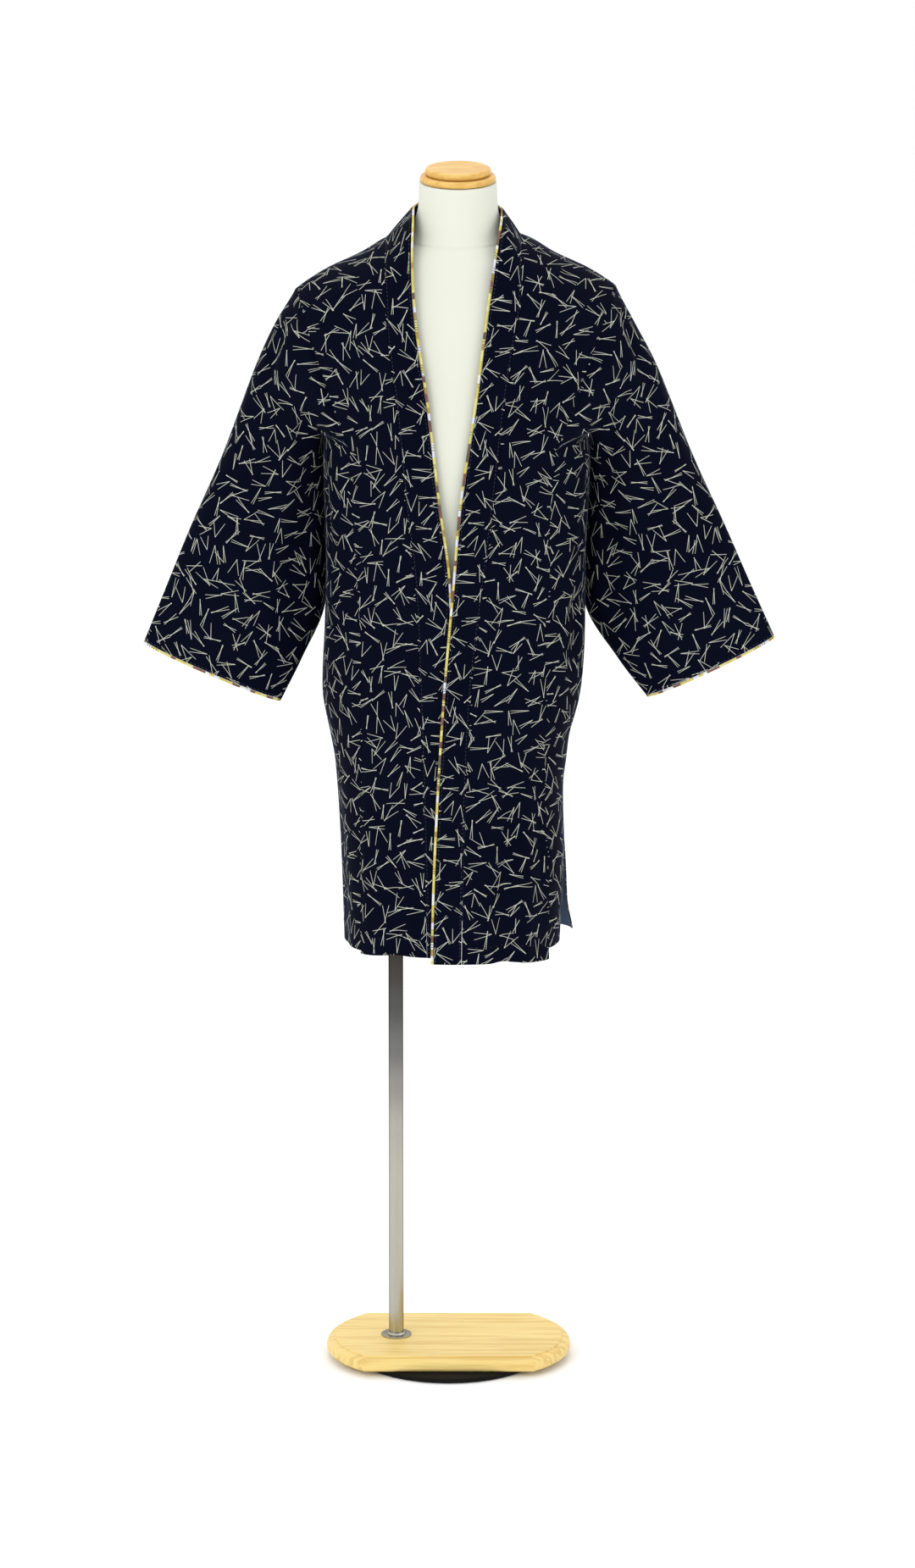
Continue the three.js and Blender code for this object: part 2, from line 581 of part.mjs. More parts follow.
// A closed mesh from points and triangles, turned so that its faces point out.
function closedGeometry(points, triangles) {
  let volume = 0;
  for (const [a, b, c] of triangles) volume += points[a].dot(points[b].clone().cross(points[c]));
  const index = triangles.flatMap(([a, b, c]) => (volume < 0 ? [a, c, b] : [a, b, c]));
  const geometry = new THREE.BufferGeometry().setFromPoints(points);
  geometry.setIndex(index);
  geometry.computeVertexNormals();
  return geometry;
}

// A wall of cloth between two grids of points, closed round its edges.
function wallGeometry(outer, inner, around = false) {
  const rows = outer.length;
  const columns = outer[0].length;
  const points = [...outer.flat(), ...inner.flat()];
  const id = (layer, row, column) => layer * rows * columns + row * columns + (column % columns);
  const triangles = [];
  const quad = (a, b, c, d) => triangles.push([a, b, c], [a, c, d]);
  const lastColumn = around ? columns : columns - 1;
  for (let row = 0; row < rows - 1; row += 1) {
    for (let column = 0; column < lastColumn; column += 1) {
      quad(id(0, row, column), id(0, row + 1, column), id(0, row + 1, column + 1), id(0, row, column + 1));
      quad(id(1, row, column), id(1, row, column + 1), id(1, row + 1, column + 1), id(1, row + 1, column));
    }
    if (!around) {
      quad(id(0, row, 0), id(1, row, 0), id(1, row + 1, 0), id(0, row + 1, 0));
      const [near, far] = [row, row + 1];
      quad(id(0, near, lastColumn), id(0, far, lastColumn), id(1, far, lastColumn), id(1, near, lastColumn));
    }
  }
  for (let column = 0; column < lastColumn; column += 1) {
    const end = rows - 1;
    quad(id(0, 0, column), id(0, 0, column + 1), id(1, 0, column + 1), id(1, 0, column));
    quad(id(0, end, column), id(1, end, column), id(1, end, column + 1), id(0, end, column + 1));
  }
  return closedGeometry(points, triangles);
}

// A wall whose outer side is a grid of places, each moved by proud, and which is this thick.
function placedWall(places, thickness, proud = 0, around = false) {
  const moved = (by) => ({ point, out }) => point.clone().addScaledVector(out, by);
  const shifted = (by) => places.map((line) => line.map(moved(by)));
  return wallGeometry(shifted(proud), shifted(proud - thickness), around);
}

// A solid stacked from level outlines with equal counts of points, closed flat at both ends.
function stackedGeometry(outlines) {
  const count = outlines[0].length;
  const points = outlines.flat();
  const triangles = [];
  for (let level = 0; level < outlines.length - 1; level += 1) {
    for (let i = 0; i < count; i += 1) {
      const a = level * count + i;
      const b = level * count + ((i + 1) % count);
      triangles.push([a, b, b + count], [a, b + count, a + count]);
    }
  }
  for (const [level, turned] of [[0, true], [outlines.length - 1, false]]) {
    const middle = outlines[level].reduce((sum, p) => sum.add(p), new THREE.Vector3()).divideScalar(count);
    const centre = points.push(middle) - 1;
    for (let i = 0; i < count; i += 1) {
      const a = level * count + i;
      const b = level * count + ((i + 1) % count);
      triangles.push(turned ? [centre, b, a] : [centre, a, b]);
    }
  }
  return closedGeometry(points, triangles);
}

// ---- Coat pieces ----

const bodyGeometry = (side) => placedWall(bodyRows(side), CLOTH);

const panelGeometry = (side) => placedWall(panelRows(side), CLOTH);

// The band's grid: seam, middle and free edge at every station.
function bandPlaces(stations) {
  const points = stations.map(({ seam, edge }) => {
    const start = seam.point.clone();
    start.addScaledVector(edge.clone().sub(start).normalize(), SEAM_GAP);
    return [start, start.clone().lerp(edge, 0.5), edge];
  });
  const outs = gridOut(points);
  return points.map((line, r) =>
    line.map((point, c) => ({ point, out: c === 0 ? stations[r].seam.out : outs[r][c] })),
  );
}

// The narrow edging beyond the band's free edge.
function pipingPlaces(band) {
  return band.map(([, middle, edge]) => {
    const beyond = edge.point.clone().sub(middle.point).normalize();
    const at = (distance) => {
      const point = edge.point.clone().addScaledVector(beyond, distance);
      return { point, out: edge.out };
    };
    return [at(SEAM_GAP), at(SEAM_GAP + PIPING.width)];
  });
}

// The armhole seam as a loop: shoulder line, down the front, under the arm, up the back.
function armholeLoop(side) {
  const edge = (face, upper) => {
    const x = armholeX(side, face, upper);
    return bodyPlace(side, face, x, upperHeight(x, upper));
  };
  const loop = [];
  for (let row = UPPER_ROWS; row > 0; row -= 1) loop.push(edge(FRONT, row));
  for (let column = 0; column <= PANEL_COLUMNS; column += 1) {
    loop.push(bodyPlaceByTurn(side, panelTurn(side, UNDERARM, column), UNDERARM));
  }
  for (let row = 1; row < UPPER_ROWS; row += 1) loop.push(edge(BACK, row));
  return loop;
}

// Large folds: how far the sleeve's surface moves outwards at this place.
function sleeveFold(angle, along) {
  let moved = 0;
  for (const fold of SLEEVE_FOLDS) {
    const t = (along - fold.from) / (fold.to - fold.from);
    if (t <= 0 || t >= 1) continue;
    const away = THREE.MathUtils.euclideanModulo(angle - mix(fold.start, fold.end, t) + 180, 360) - 180;
    moved += fold.depth * Math.sin(Math.PI * t) * Math.exp(-((away / fold.halfWidth) ** 2));
  }
  return moved;
}

// Degrees round the sleeve of each point of the armhole loop, by its share of the loop's length.
function loopAngles(loop) {
  const lengths = [0];
  loop.forEach(({ point }, i) => {
    const next = loop[(i + 1) % loop.length].point;
    lengths.push(lengths[i] + point.distanceTo(next));
  });
  const bottom = loop.length - UPPER_ROWS + 1 - PANEL_COLUMNS / 2 - 1;
  const whole = lengths.at(-1);
  const half = lengths[bottom];
  return loop.map((_, i) => {
    if (i <= bottom) return (180 * lengths[i]) / half;
    return 180 + (180 * (lengths[i] - half)) / (whole - half);
  });
}

// One ring of the sleeve, flattened between its top edge and its underside.
function sleeveRing(side, angles, along) {
  const row = readTable(SLEEVE_ROWS[sideName(side)], 'along', along);
  const top = new THREE.Vector3(side * row.topReach, 0, row.topHeight);
  const under = new THREE.Vector3(side * row.underReach, 0, row.underHeight);
  const middle = top.clone().lerp(under, 0.5);
  const upward = top.clone().sub(middle);
  return angles.map((angle) => {
    const turn = radians(angle);
    const out = upward.clone().normalize().multiplyScalar(Math.cos(turn));
    out.y = -Math.sin(turn);
    const point = middle.clone().addScaledVector(upward, Math.cos(turn));
    point.y += (row.back * (1 - Math.cos(turn))) / 2 - row.depth * Math.sin(turn);
    return point.addScaledVector(out, sleeveFold(angle, along));
  });
}

// The sleeve's rings from the armhole seam to the cuff.
function sleevePlaces(side) {
  const loop = armholeLoop(side);
  const angles = loopAngles(loop);
  const leave = loop.map(({ out }, i) => {
    const next = loop[(i + 1) % loop.length].point;
    const before = loop[(i + loop.length - 1) % loop.length].point;
    return next.clone().sub(before).cross(out).normalize().multiplyScalar(-side);
  });
  const step = (distance) => loop.map(({ point }, i) => point.clone().addScaledVector(leave[i], distance));
  const first = step(HALF_GAP);
  const second = step(SLEEVE_START.step);
  const rings = [first, second];
  for (let ring = 1; ring <= SLEEVE_RINGS - 2; ring += 1) {
    const along = (ring / (SLEEVE_RINGS - 2)) ** RING_SPACING;
    const settled = smooth(along, SLEEVE_START.settledFrom, SLEEVE_START.settledBy);
    rings.push(sleeveRing(side, angles, along).map((point, i) => second[i].clone().lerp(point, settled)));
  }
  const outs = gridOut(rings, true, side);
  const outAt = (r, i) => (r === 0 ? loop[i].out : outs[r][i]);
  return rings.map((ring, r) => ring.map((point, i) => ({ point, out: outAt(r, i) })));
}

// The narrow edging that binds the cuff, carried on past the sleeve's last ring.
function cuffPlaces(sleeve) {
  const last = sleeve.at(-1);
  const before = sleeve.at(-2);
  return [SEAM_GAP, SEAM_GAP + CUFF_EDGING.width].map((distance) =>
    last.map(({ point, out }, i) => {
      const onward = point.clone().sub(before[i].point).normalize();
      return { point: point.clone().addScaledVector(onward, distance), out };
    }),
  );
}

// ---- Stand pieces ----

function formGeometry() {
  const outline = (section) => {
    const points = [];
    for (let i = 0; i < FORM_POINTS; i += 1) {
      const turn = (2 * Math.PI * i) / FORM_POINTS;
      const reach = Math.cos(turn) < 0 ? section.right : section.left;
      const depth = Math.sin(turn) < 0 ? section.front : section.back;
      points.push(new THREE.Vector3(reach * Math.cos(turn), depth * Math.sin(turn), section.height));
    }
    return points;
  };
  return stackedGeometry(FORM_SECTIONS.map(outline));
}

// The board's outline: straight front and back, round ends, drawn in by inset.
function boardOutline({ height, inset }) {
  const halfDepth = BOARD.halfDepth - inset;
  const radius = BOARD.endRadius - inset;
  const centreX = BOARD.halfLength - BOARD.endRadius;
  const open = Math.asin(halfDepth / radius);
  const points = [];
  for (const [side, from] of [[LEFT, -open], [RIGHT, open]]) {
    for (let i = 0; i <= BOARD_END_STEPS; i += 1) {
      const angle = mix(from, -from, i / BOARD_END_STEPS);
      const x = side * (centreX + radius * Math.cos(angle));
      points.push(new THREE.Vector3(x, radius * Math.sin(angle), height));
    }
  }
  return points;
}

// A round solid with an upright axis, from (radius, height) pairs.
function turnedGeometry(profile, sides = ROUND_SIDES) {
  const points = profile.map(([radius, height]) => new THREE.Vector2(radius, height));
  return new THREE.LatheGeometry(points, sides).rotateX(Math.PI / 2);
}

// A turned wooden disc with rounded edges.
function capGeometry({ radius, height }) {
  const round = height * CAP_EDGE;
  const middle = round * EDGE_MIDDLE;
  return turnedGeometry([
    [0, 0],
    [radius - round, 0],
    [radius - middle, middle],
    [radius, round],
    [radius, height - round],
    [radius - middle, height - middle],
    [radius - round, height],
    [0, height],
  ]);
}

// A round plate with a short boss and a hole for the pole.
function flangeGeometry() {
  const { radius, plate, bossRadius, bossTaper, bossHeight, edge } = FLANGE;
  const bore = POLE.radius + JOINT_GAP;
  return turnedGeometry([
    [bore, 0],
    [radius - edge, 0],
    [radius, edge],
    [radius, plate - edge],
    [radius - edge, plate],
    [bossRadius, plate + edge],
    [bossRadius - bossTaper / 2, bossHeight - edge],
    [bossRadius - bossTaper, bossHeight],
    [bore, bossHeight],
    [bore, 0],
  ]);
}

function baseDiscGeometry() {
  const { radius, height, bottomEdge, topEdge, crown } = BASE_DISC;
  return turnedGeometry(
    [
      [0, 0],
      [radius - bottomEdge, 0],
      [radius, bottomEdge],
      [radius, height - topEdge],
      [radius - topEdge * EDGE_MIDDLE, height - topEdge * EDGE_MIDDLE],
      [radius - crown, height],
      [0, height],
    ],
    DISC_SIDES,
  );
}

// ---- The object ----

const object = new THREE.Group();
const coat = new THREE.Group();
const stand = new THREE.Group();
const form = new THREE.Group();
coat.position.x = FORM_AXIS_X;
form.position.x = FORM_AXIS_X;
object.add(stand, form, coat);

function add(parent, name, geometry, material) {
  const mesh = new THREE.Mesh(geometry, material);
  mesh.name = name;
  parent.add(mesh);
  return mesh;
}

for (const side of [RIGHT, LEFT]) {
  const name = sideName(side);
  add(coat, `body_${name}`, bodyGeometry(side), MATERIALS.printedCloth);
  add(coat, `side_panel_${name}`, panelGeometry(side), MATERIALS.printedCloth);
  const sleeve = sleevePlaces(side);
  add(coat, `sleeve_${name}`, placedWall(sleeve, CLOTH, 0, true), MATERIALS.printedCloth);
  const cuff = placedWall(cuffPlaces(sleeve), CUFF_EDGING.thickness, CUFF_EDGING.proud, true);
  add(coat, `cuff_edging_${name}`, cuff, MATERIALS.edging);
}
const band = bandPlaces(bandStations());
add(coat, 'collar_band', placedWall(band, BAND_CLOTH, BAND_PROUD), MATERIALS.printedCloth);
add(coat, 'collar_piping', placedWall(pipingPlaces(band), PIPING.thickness), MATERIALS.edging);

add(form, 'form_torso', formGeometry(), MATERIALS.formCover);
add(form, 'cap_rim', capGeometry(CAP_RIM), MATERIALS.capWood).position.z = CAP_RIM.bottom;
add(form, 'cap_disc', capGeometry(CAP_DISC), MATERIALS.capWood).position.z = CAP_DISC.bottom;

const poleBottom = BOARD.top + JOINT_GAP;
const poleHeight = FORM_BOTTOM - JOINT_GAP - poleBottom;
const pole = new THREE.CylinderGeometry(POLE.radius, POLE.radius, poleHeight, ROUND_SIDES);
pole.rotateX(Math.PI / 2);
add(form, 'pole', pole, MATERIALS.steel).position.set(POLE.x, 0, poleBottom + poleHeight / 2);
add(form, 'pole_flange', flangeGeometry(), MATERIALS.steel).position.set(POLE.x, 0, poleBottom);
const socket = add(form, 'pole_socket', flangeGeometry(), MATERIALS.steel);
socket.position.set(POLE.x, 0, FORM_BOTTOM - JOINT_GAP);
socket.rotation.x = Math.PI;

add(stand, 'base_board', stackedGeometry(BOARD_PROFILE.map(boardOutline)), MATERIALS.boardWood);
add(stand, 'base_disc', baseDiscGeometry(), MATERIALS.blackPlate);

export default object;
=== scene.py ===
import math

import bpy
import numpy as np
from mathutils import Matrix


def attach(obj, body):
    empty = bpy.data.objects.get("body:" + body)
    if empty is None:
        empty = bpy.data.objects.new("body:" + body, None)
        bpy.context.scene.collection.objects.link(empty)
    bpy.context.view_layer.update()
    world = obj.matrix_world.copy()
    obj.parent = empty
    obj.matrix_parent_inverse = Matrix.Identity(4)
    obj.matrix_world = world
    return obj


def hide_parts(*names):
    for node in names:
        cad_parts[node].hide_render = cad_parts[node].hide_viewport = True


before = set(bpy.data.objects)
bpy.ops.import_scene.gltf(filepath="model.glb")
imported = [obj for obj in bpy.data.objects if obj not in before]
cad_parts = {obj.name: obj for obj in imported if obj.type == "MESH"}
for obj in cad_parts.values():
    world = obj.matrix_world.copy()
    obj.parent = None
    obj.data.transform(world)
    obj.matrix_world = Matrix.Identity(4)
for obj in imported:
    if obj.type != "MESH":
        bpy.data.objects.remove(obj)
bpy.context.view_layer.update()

bl_info = {
    "name": "Happi coat on a dress form",
    "version": (1, 0, 0),
    "blender": (4, 5, 0),
    "location": "View3D > Sidebar > Happi",
    "description": "Makes a printed happi coat, the dress form that wears it and its stand",
    "category": "Add Mesh",
}

# Sizes below are millimetres, measured about the dress form's upright axis. Meshes are made in
# metres.
MM = 0.001
FORM_AXIS_X = 12.0
RIGHT, LEFT = -1, 1
FRONT, BACK = -1, 1
SIDES = (RIGHT, LEFT)

# ---- Sizes of the coat ----
# They follow its solids. Under the arms and along the band's free edges they are up to 5.5 mm off
# them. The hem's heights are listed from the front opening round to the middle of the back.
PIPING = {"width": 3.5, "thickness": 2.2, "proud": 0.2}
CUFF_EDGING = {"width": 3.2, "thickness": 2.0, "proud": 0.3}
BAND_PROUD = 0.7
SEAM_GAP = 0.4
HALF_GAP = SEAM_GAP / 2
UNDERARM = 1235.0
VENT_TOP = 745.0
LOWEST_HEM = 551.0
VENT_TIP = 605.0
HEM_PLACES = ("front", "frontSide", "panelFront", "panelBack", "backSide", "back")
HEM = {
    "right": dict(zip(HEM_PLACES, (573, 567, 571, 565, 556, 551))),
    "left": dict(zip(HEM_PLACES, (566, 557.5, 572, 568, 561, 551))),
}
SHOULDER_ROUND = 62.0
SECTION_SQUARENESS = 0.8
NECK_SEAM_REACH = {"right": 92.0, "left": 80.0}
BACK_BAND = {
    "ahead": 0.14,
    "inward": {"right": 0.39, "left": 0.31},
    "rise": {"right": 43.0, "left": 36.0, "nape": 41.0},
}
ARMHOLE_CURVE = 0.8
SHOULDER_REACH = {"right": 203.0, "left": 197.0}
OVERLAP = {"lift": 4.8, "fullReach": 32, "endReach": 72, "fullHeight": 1060, "endHeight": 1160}
VENT_SPREAD = {
    "right": {"back": 3, "tip": 0, "panel": -1.5},
    "left": {"back": 17.5, "tip": 6.5, "panel": -5},
}
BACK_SIDE_SEAM = {"underarm": 50.0, "vent": 72.0}
BAND_STANDS_FROM = 1360.0

# How far out from their inner seams, as shares of the width, the hem starts to slope and the back
# and the side panels start to stand off, and over how many rows above the underarm the columns
# even out.
HEM_SLOPES_FROM = 0.3
BACK_SPREADS_FROM = 0.45
PANEL_SPREADS_FROM = 0.3
EVENING_ROWS = 5


def table(columns, *rows):
    """A table as a dict of its named columns."""
    return dict(zip(columns.split(), np.array(rows, float).T))


# Level sections of the coat's body: its reach to the wearer's right, left, front and back.
BODY_SECTIONS = table(
    "height right left front back",
    (540, 147, 132, 122, 119),
    (560, 147, 132, 122, 118),
    (675, 150, 137, 114, 112),
    (742, 153, 135, 112, 110),
    (775, 155, 135, 112, 110),
    (810, 158, 139, 113, 110),
    (844, 164, 143, 115, 112),
    (868, 169, 149, 117, 114),
    (892, 173, 155, 118, 116),
    (925, 173, 159, 118, 116),
    (985, 170, 162, 115, 111),
    (1080, 168, 163, 113, 106),
    (1180, 171, 167.5, 117, 108),
    (1212, 171, 168, 117.5, 109),
    (1235, 169, 165, 118, 110),
    (1264, 174, 171, 116, 110),
    (1300, 184, 180, 112, 109),
    (1340, 198, 194, 105, 106),
    (1380, 215, 211, 95, 101),
    (1423, 225, 222, 84, 97),
    (1500, 232, 230, 74, 95),
)

# The shoulder line: its height at each reach from the neck out to the armhole.
SHOULDER_LINE = table(
    "reach height",
    (0, 1502),
    (60, 1495),
    (92, 1485),
    (122, 1467),
    (167, 1446),
    (203, 1423),
    (230, 1400),
)

# Where the side panels are sewn to the fronts, in degrees round from the middle of the front.
SIDE_SEAMS = table(
    "height right left",
    (540, 55, 60),
    (680, 52, 54),
    (765, 50, 52),
    (850, 44, 46),
    (900, 41, 42),
    (980, 42, 38),
    (1070, 46, 41),
    (1160, 50, 40),
    (1235, 51, 44),
)

# The collar band down each front: x of its seam and of the opening's edge.
BAND_ROWS = table(
    "height rightSeam rightEdge leftSeam leftEdge",
    (540, -39, 2, 4, -35),
    (643, -41, 0, 6, -33),
    (750, -44, -3, 9, -29),
    (923, -49, -8, 17, -19),
    (1065, -55, -8.5, 33, -7),
    (1165, -66, -21.5, 45, 1),
    (1301, -79, -37, 60, 21),
    (1378, -89, -49, 72, 31),
    (1417, -91, -54, 79, 37),
    (1451, -92, -57, 80, 45),
    (1485, -92, -56, 80, 55),
)

# Each sleeve's folded top edge and its underside, from the armhole (along 0) to the cuff (along 1),
# half its depth, and how far back the underside lies.
SLEEVE_COLUMNS = "along topReach topHeight underReach underHeight depth back"
SLEEVE_ROWS = {
    "right": table(
        SLEEVE_COLUMNS,
        (0, 206, 1419, 173, 1243, 72, 0),
        (0.08, 216, 1402, 172.5, 1238, 68, 3),
        (0.16, 232, 1376, 169.5, 1226, 63, 14),
        (0.3, 257, 1320, 167, 1185, 58, 30),
        (0.5, 299, 1206, 167, 1096, 53, 40),
        (0.7, 341, 1109, 170, 998, 43, 36),
        (0.85, 371, 1034, 198, 936, 33, 16),
        (1, 400, 961, 225, 884, 24, 0),
    ),
    "left": table(
        SLEEVE_COLUMNS,
        (0, 200, 1421, 169, 1243, 72, 0),
        (0.08, 210, 1402, 168, 1238, 68, 2),
        (0.16, 224, 1377, 166, 1226, 63, 10),
        (0.3, 253, 1320, 163.5, 1185, 58, 28),
        (0.5, 298, 1206, 162, 1100, 53, 40),
        (0.7, 341, 1110, 162, 1000, 43, 36),
        (0.85, 372, 1038, 203, 935, 33, 16),
        (1, 403, 968, 240, 889, 24, 0),
    ),
}
SLEEVE_START = {"step": 4, "settledFrom": -0.06, "settledBy": 0.2, "eased": -0.3}
RING_SPACING = 1.4
FIRST_RING = 0.1 ** RING_SPACING

# Large soft folds in the body: degrees round from the middle of the front (right is below 0), how
# that changes by the fold's lower end, its height range, half width in degrees and depth (troughs
# below 0). A fold that reaches the hem is at its full depth this share of the way down.
FOLD_FULL_AT = 0.6
BODY_FOLDS = (
    (24, -4, 900, 540, 5, -6),
    (34, 2, 880, 540, 6, 4),
    (38, 3, 1420, 1280, 6, -4),
    (66, -3, 1120, 860, 8, -4),
    (-30, 3, 880, 540, 6, -4.5),
    (-48, -4, 1330, 1000, 6, -4),
    (-80, 4, 860, 540, 8, -3.5),
    (-38, 5, 1425, 1260, 6, -3.5),
    (128, 6, 1150, 800, 8, -5),
    (152, -4, 930, 540, 8, -8),
    (168, 3, 900, 540, 7, 5),
    (-170, 5, 940, 540, 8, -7),
    (-146, 8, 1180, 700, 8, -6),
    (-120, -3, 900, 540, 7, 4),
)

# How quickly every crease fades at its ends, and how much wider it is at its far end.
CREASE = {"fade": 0.7, "widening": 0.5}

# Small creases in the body: from (turn, height) to (turn, height), sideways bow of the middle, half
# width across and depth.
BODY_CREASES = (
    (48, 1395, 33, 1290, 4, 5.0, -2.6),
    (52, 1375, 44, 1268, -3, 4.5, 2.0),
    (58, 1352, 30, 1240, 8, 5.5, -2.2),
    (36, 1408, 27, 1352, -2, 4.0, -1.6),
    (44, 1300, 22, 1248, 5, 4.5, 1.5),
    (-47, 1398, -34, 1300, -4, 5.0, -2.4),
    (-54, 1372, -42, 1275, 3, 4.5, 2.0),
    (-58, 1345, -30, 1235, -7, 5.5, -2.0),
    (-40, 1402, -30, 1340, 3, 4.0, -1.5),
    (-32, 1470, -24, 1425, 3, 4.0, -1.8),
    (-38, 1462, -31, 1418, 2, 3.5, 1.4),
    (33, 1468, 26, 1420, -3, 4.0, -1.8),
    (39, 1458, 33, 1416, 2, 3.5, 1.3),
    (60, 1212, 34, 1178, 4, 5.0, -2.2),
    (63, 1190, 40, 1160, -3, 4.5, 1.5),
    (-60, 1208, -36, 1182, 4, 5.0, -2.0),
    (22, 1150, 27, 960, 6, 7.0, -1.8),
    (-26, 1130, -22, 900, -5, 7.0, -1.6),
    (12, 1000, 15, 700, 4, 6.5, -1.4),
    (-14, 920, -17, 610, -5, 6.5, -1.6),
    (46, 820, 50, 600, 3, 6.0, -2.2),
    (-44, 800, -47, 590, 4, 6.0, 1.8),
    (76, 1190, 70, 1060, 4, 5.5, -2.0),
    (-76, 1195, -71, 1050, -3, 5.5, -2.0),
    (84, 1010, 80, 820, 3, 6.0, 1.6),
    (-86, 1000, -80, 800, 4, 6.0, -1.8),
    (128, 1400, 146, 1285, 5, 5.5, -2.6),
    (122, 1372, 139, 1256, -4, 5.0, 2.0),
    (119, 1340, 150, 1225, 7, 5.5, -2.2),
    (-128, 1402, -144, 1290, -5, 5.5, -2.5),
    (-121, 1368, -138, 1262, 4, 5.0, 2.0),
    (-118, 1338, -149, 1230, -6, 5.5, -2.1),
    (160, 1380, 165, 1120, 5, 8.0, -1.8),
    (-158, 1370, -164, 1080, -5, 8.0, -1.8),
    (140, 1170, 144, 930, 5, 7.0, 2.0),
    (-136, 1150, -141, 930, 4, 7.0, -2.0),
    (117, 1000, 124, 760, -4, 6.5, 2.2),
    (-112, 990, -118, 740, 4, 6.5, -2.2),
    (174, 1000, 171, 660, 4, 7.0, -2.0),
)

# Large soft folds in each sleeve: degrees round from its top edge, past its front, at the fold's
# two ends, where they lie along the sleeve, half width in degrees and depth.
SLEEVE_FOLDS = (
    (20, 62, 0.04, 0.5, 13, -6),
    (58, 100, 0.08, 0.75, 15, -6),
    (118, 128, 0.2, 0.9, 15, -5),
    (332, 296, 0.05, 0.55, 14, -6),
    (300, 256, 0.1, 0.8, 16, -6),
    (236, 226, 0.25, 0.95, 15, -5),
)

# Small creases in each sleeve: from (degrees round, share along) to the same, bow in degrees, half
# width across and depth. The two sleeves don't crease alike.
SLEEVE_CREASES = {
    "right": (
        (18, 0.05, 44, 0.27, 4, 5.0, -2.6),
        (36, 0.04, 66, 0.3, -4, 5.0, 2.2),
        (60, 0.06, 84, 0.36, 5, 5.5, -2.6),
        (88, 0.1, 104, 0.42, -4, 5.5, 2.0),
        (116, 0.12, 98, 0.3, 3, 5.0, -2.2),
        (30, 0.34, 40, 0.62, 5, 7.0, -1.8),
        (74, 0.42, 66, 0.78, -5, 7.5, 1.6),
        (108, 0.5, 118, 0.86, 4, 7.0, -1.8),
        (52, 0.7, 48, 0.99, 3, 7.0, -1.3),
        (140, 0.3, 128, 0.58, 3, 6.0, -2.0),
        (342, 0.05, 318, 0.25, -4, 5.0, -2.6),
        (322, 0.05, 292, 0.33, 4, 5.5, 2.2),
        (296, 0.08, 274, 0.4, -5, 5.5, -2.6),
        (270, 0.12, 254, 0.44, 4, 5.5, 2.0),
        (326, 0.36, 318, 0.66, 4, 7.0, -1.8),
        (284, 0.45, 292, 0.82, -4, 7.5, -1.6),
        (248, 0.5, 240, 0.88, 4, 7.0, 1.8),
    ),
    "left": (
        (14, 0.04, 36, 0.24, 4, 4.8, -2.8),
        (30, 0.05, 58, 0.26, -5, 5.0, 2.4),
        (50, 0.05, 80, 0.34, 4, 5.0, -2.8),
        (76, 0.08, 92, 0.28, 4, 4.8, 2.0),
        (100, 0.1, 112, 0.4, -3, 5.5, -2.4),
        (26, 0.3, 34, 0.55, -4, 7.0, 1.6),
        (62, 0.4, 74, 0.7, 5, 7.0, -2.0),
        (96, 0.48, 88, 0.84, -4, 7.5, 1.6),
        (122, 0.45, 132, 0.8, 3, 6.5, -2.0),
        (40, 0.66, 44, 0.97, 4, 7.5, -1.3),
        (346, 0.05, 326, 0.28, -4, 5.0, -2.6),
        (318, 0.04, 298, 0.3, 4, 5.5, 2.4),
        (292, 0.1, 266, 0.36, -4, 5.5, -2.4),
        (262, 0.14, 250, 0.46, 4, 5.5, 2.0),
        (332, 0.4, 322, 0.72, 4, 7.0, -1.8),
        (292, 0.5, 282, 0.86, -4, 7.5, 1.6),
        (254, 0.44, 246, 0.82, 4, 7.0, -2.0),
    ),
}

# What turns the creases' degrees and shares into millimetres.
SLEEVE_GIRTH = 390.0
SLEEVE_LENGTH = 490.0
BODY_RADIUS = 140.0

# Level sections of the dress form.
FORM_SECTIONS = table(
    "height right left front back",
    (862, 150, 129, 99, 97),
    (864, 154, 133, 103, 101),
    (872, 159, 139, 107, 105),
    (890, 164, 146, 110, 108),
    (925, 164, 149, 110, 108),
    (985, 154, 144, 105, 102),
    (1060, 138, 131, 99, 92),
    (1120, 140, 135, 101, 92),
    (1190, 150, 146, 108, 97),
    (1250, 156, 152, 109, 100),
    (1310, 163, 159, 101, 99),
    (1360, 176, 170, 91, 90),
    (1395, 189, 183, 82, 76),
    (1418, 189, 183, 76, 66),
    (1436, 178, 172, 72, 62),
    (1451, 151, 148, 69, 60),
    (1466, 119, 118, 66, 58),
    (1477, 91, 87, 63, 56),
    (1486, 70, 69, 60, 54),
    (1495, 61, 60, 57, 53),
    (1504, 57, 56, 55, 52),
    (1514, 54, 53.5, 53, 51),
    (1522, 51.6, 51.3, 51.5, 50.5),
    (1530, 50.1, 50.1, 50.5, 50.2),
    (1560.7, 49, 49, 49, 49),
)

# The pole's painted shade and painted reflection of the coat, darker towards the form: between
# which heights in metres it gathers, and the share of the steel's colour left at each share of that
# way up.
POLE_PAINTED_SHADE = {
    "heights": (0.24, 0.56),
    "left": (
        (0.0, (1.0, 1.0, 1.0)),
        (0.22, (0.88, 0.88, 0.90)),
        (0.40, (0.60, 0.60, 0.66)),
        (0.55, (0.36, 0.37, 0.42)),
        (0.74, (0.19, 0.20, 0.22)),
        (0.88, (0.13, 0.12, 0.13)),
        (1.0, (0.075, 0.068, 0.06)),
    ),
}

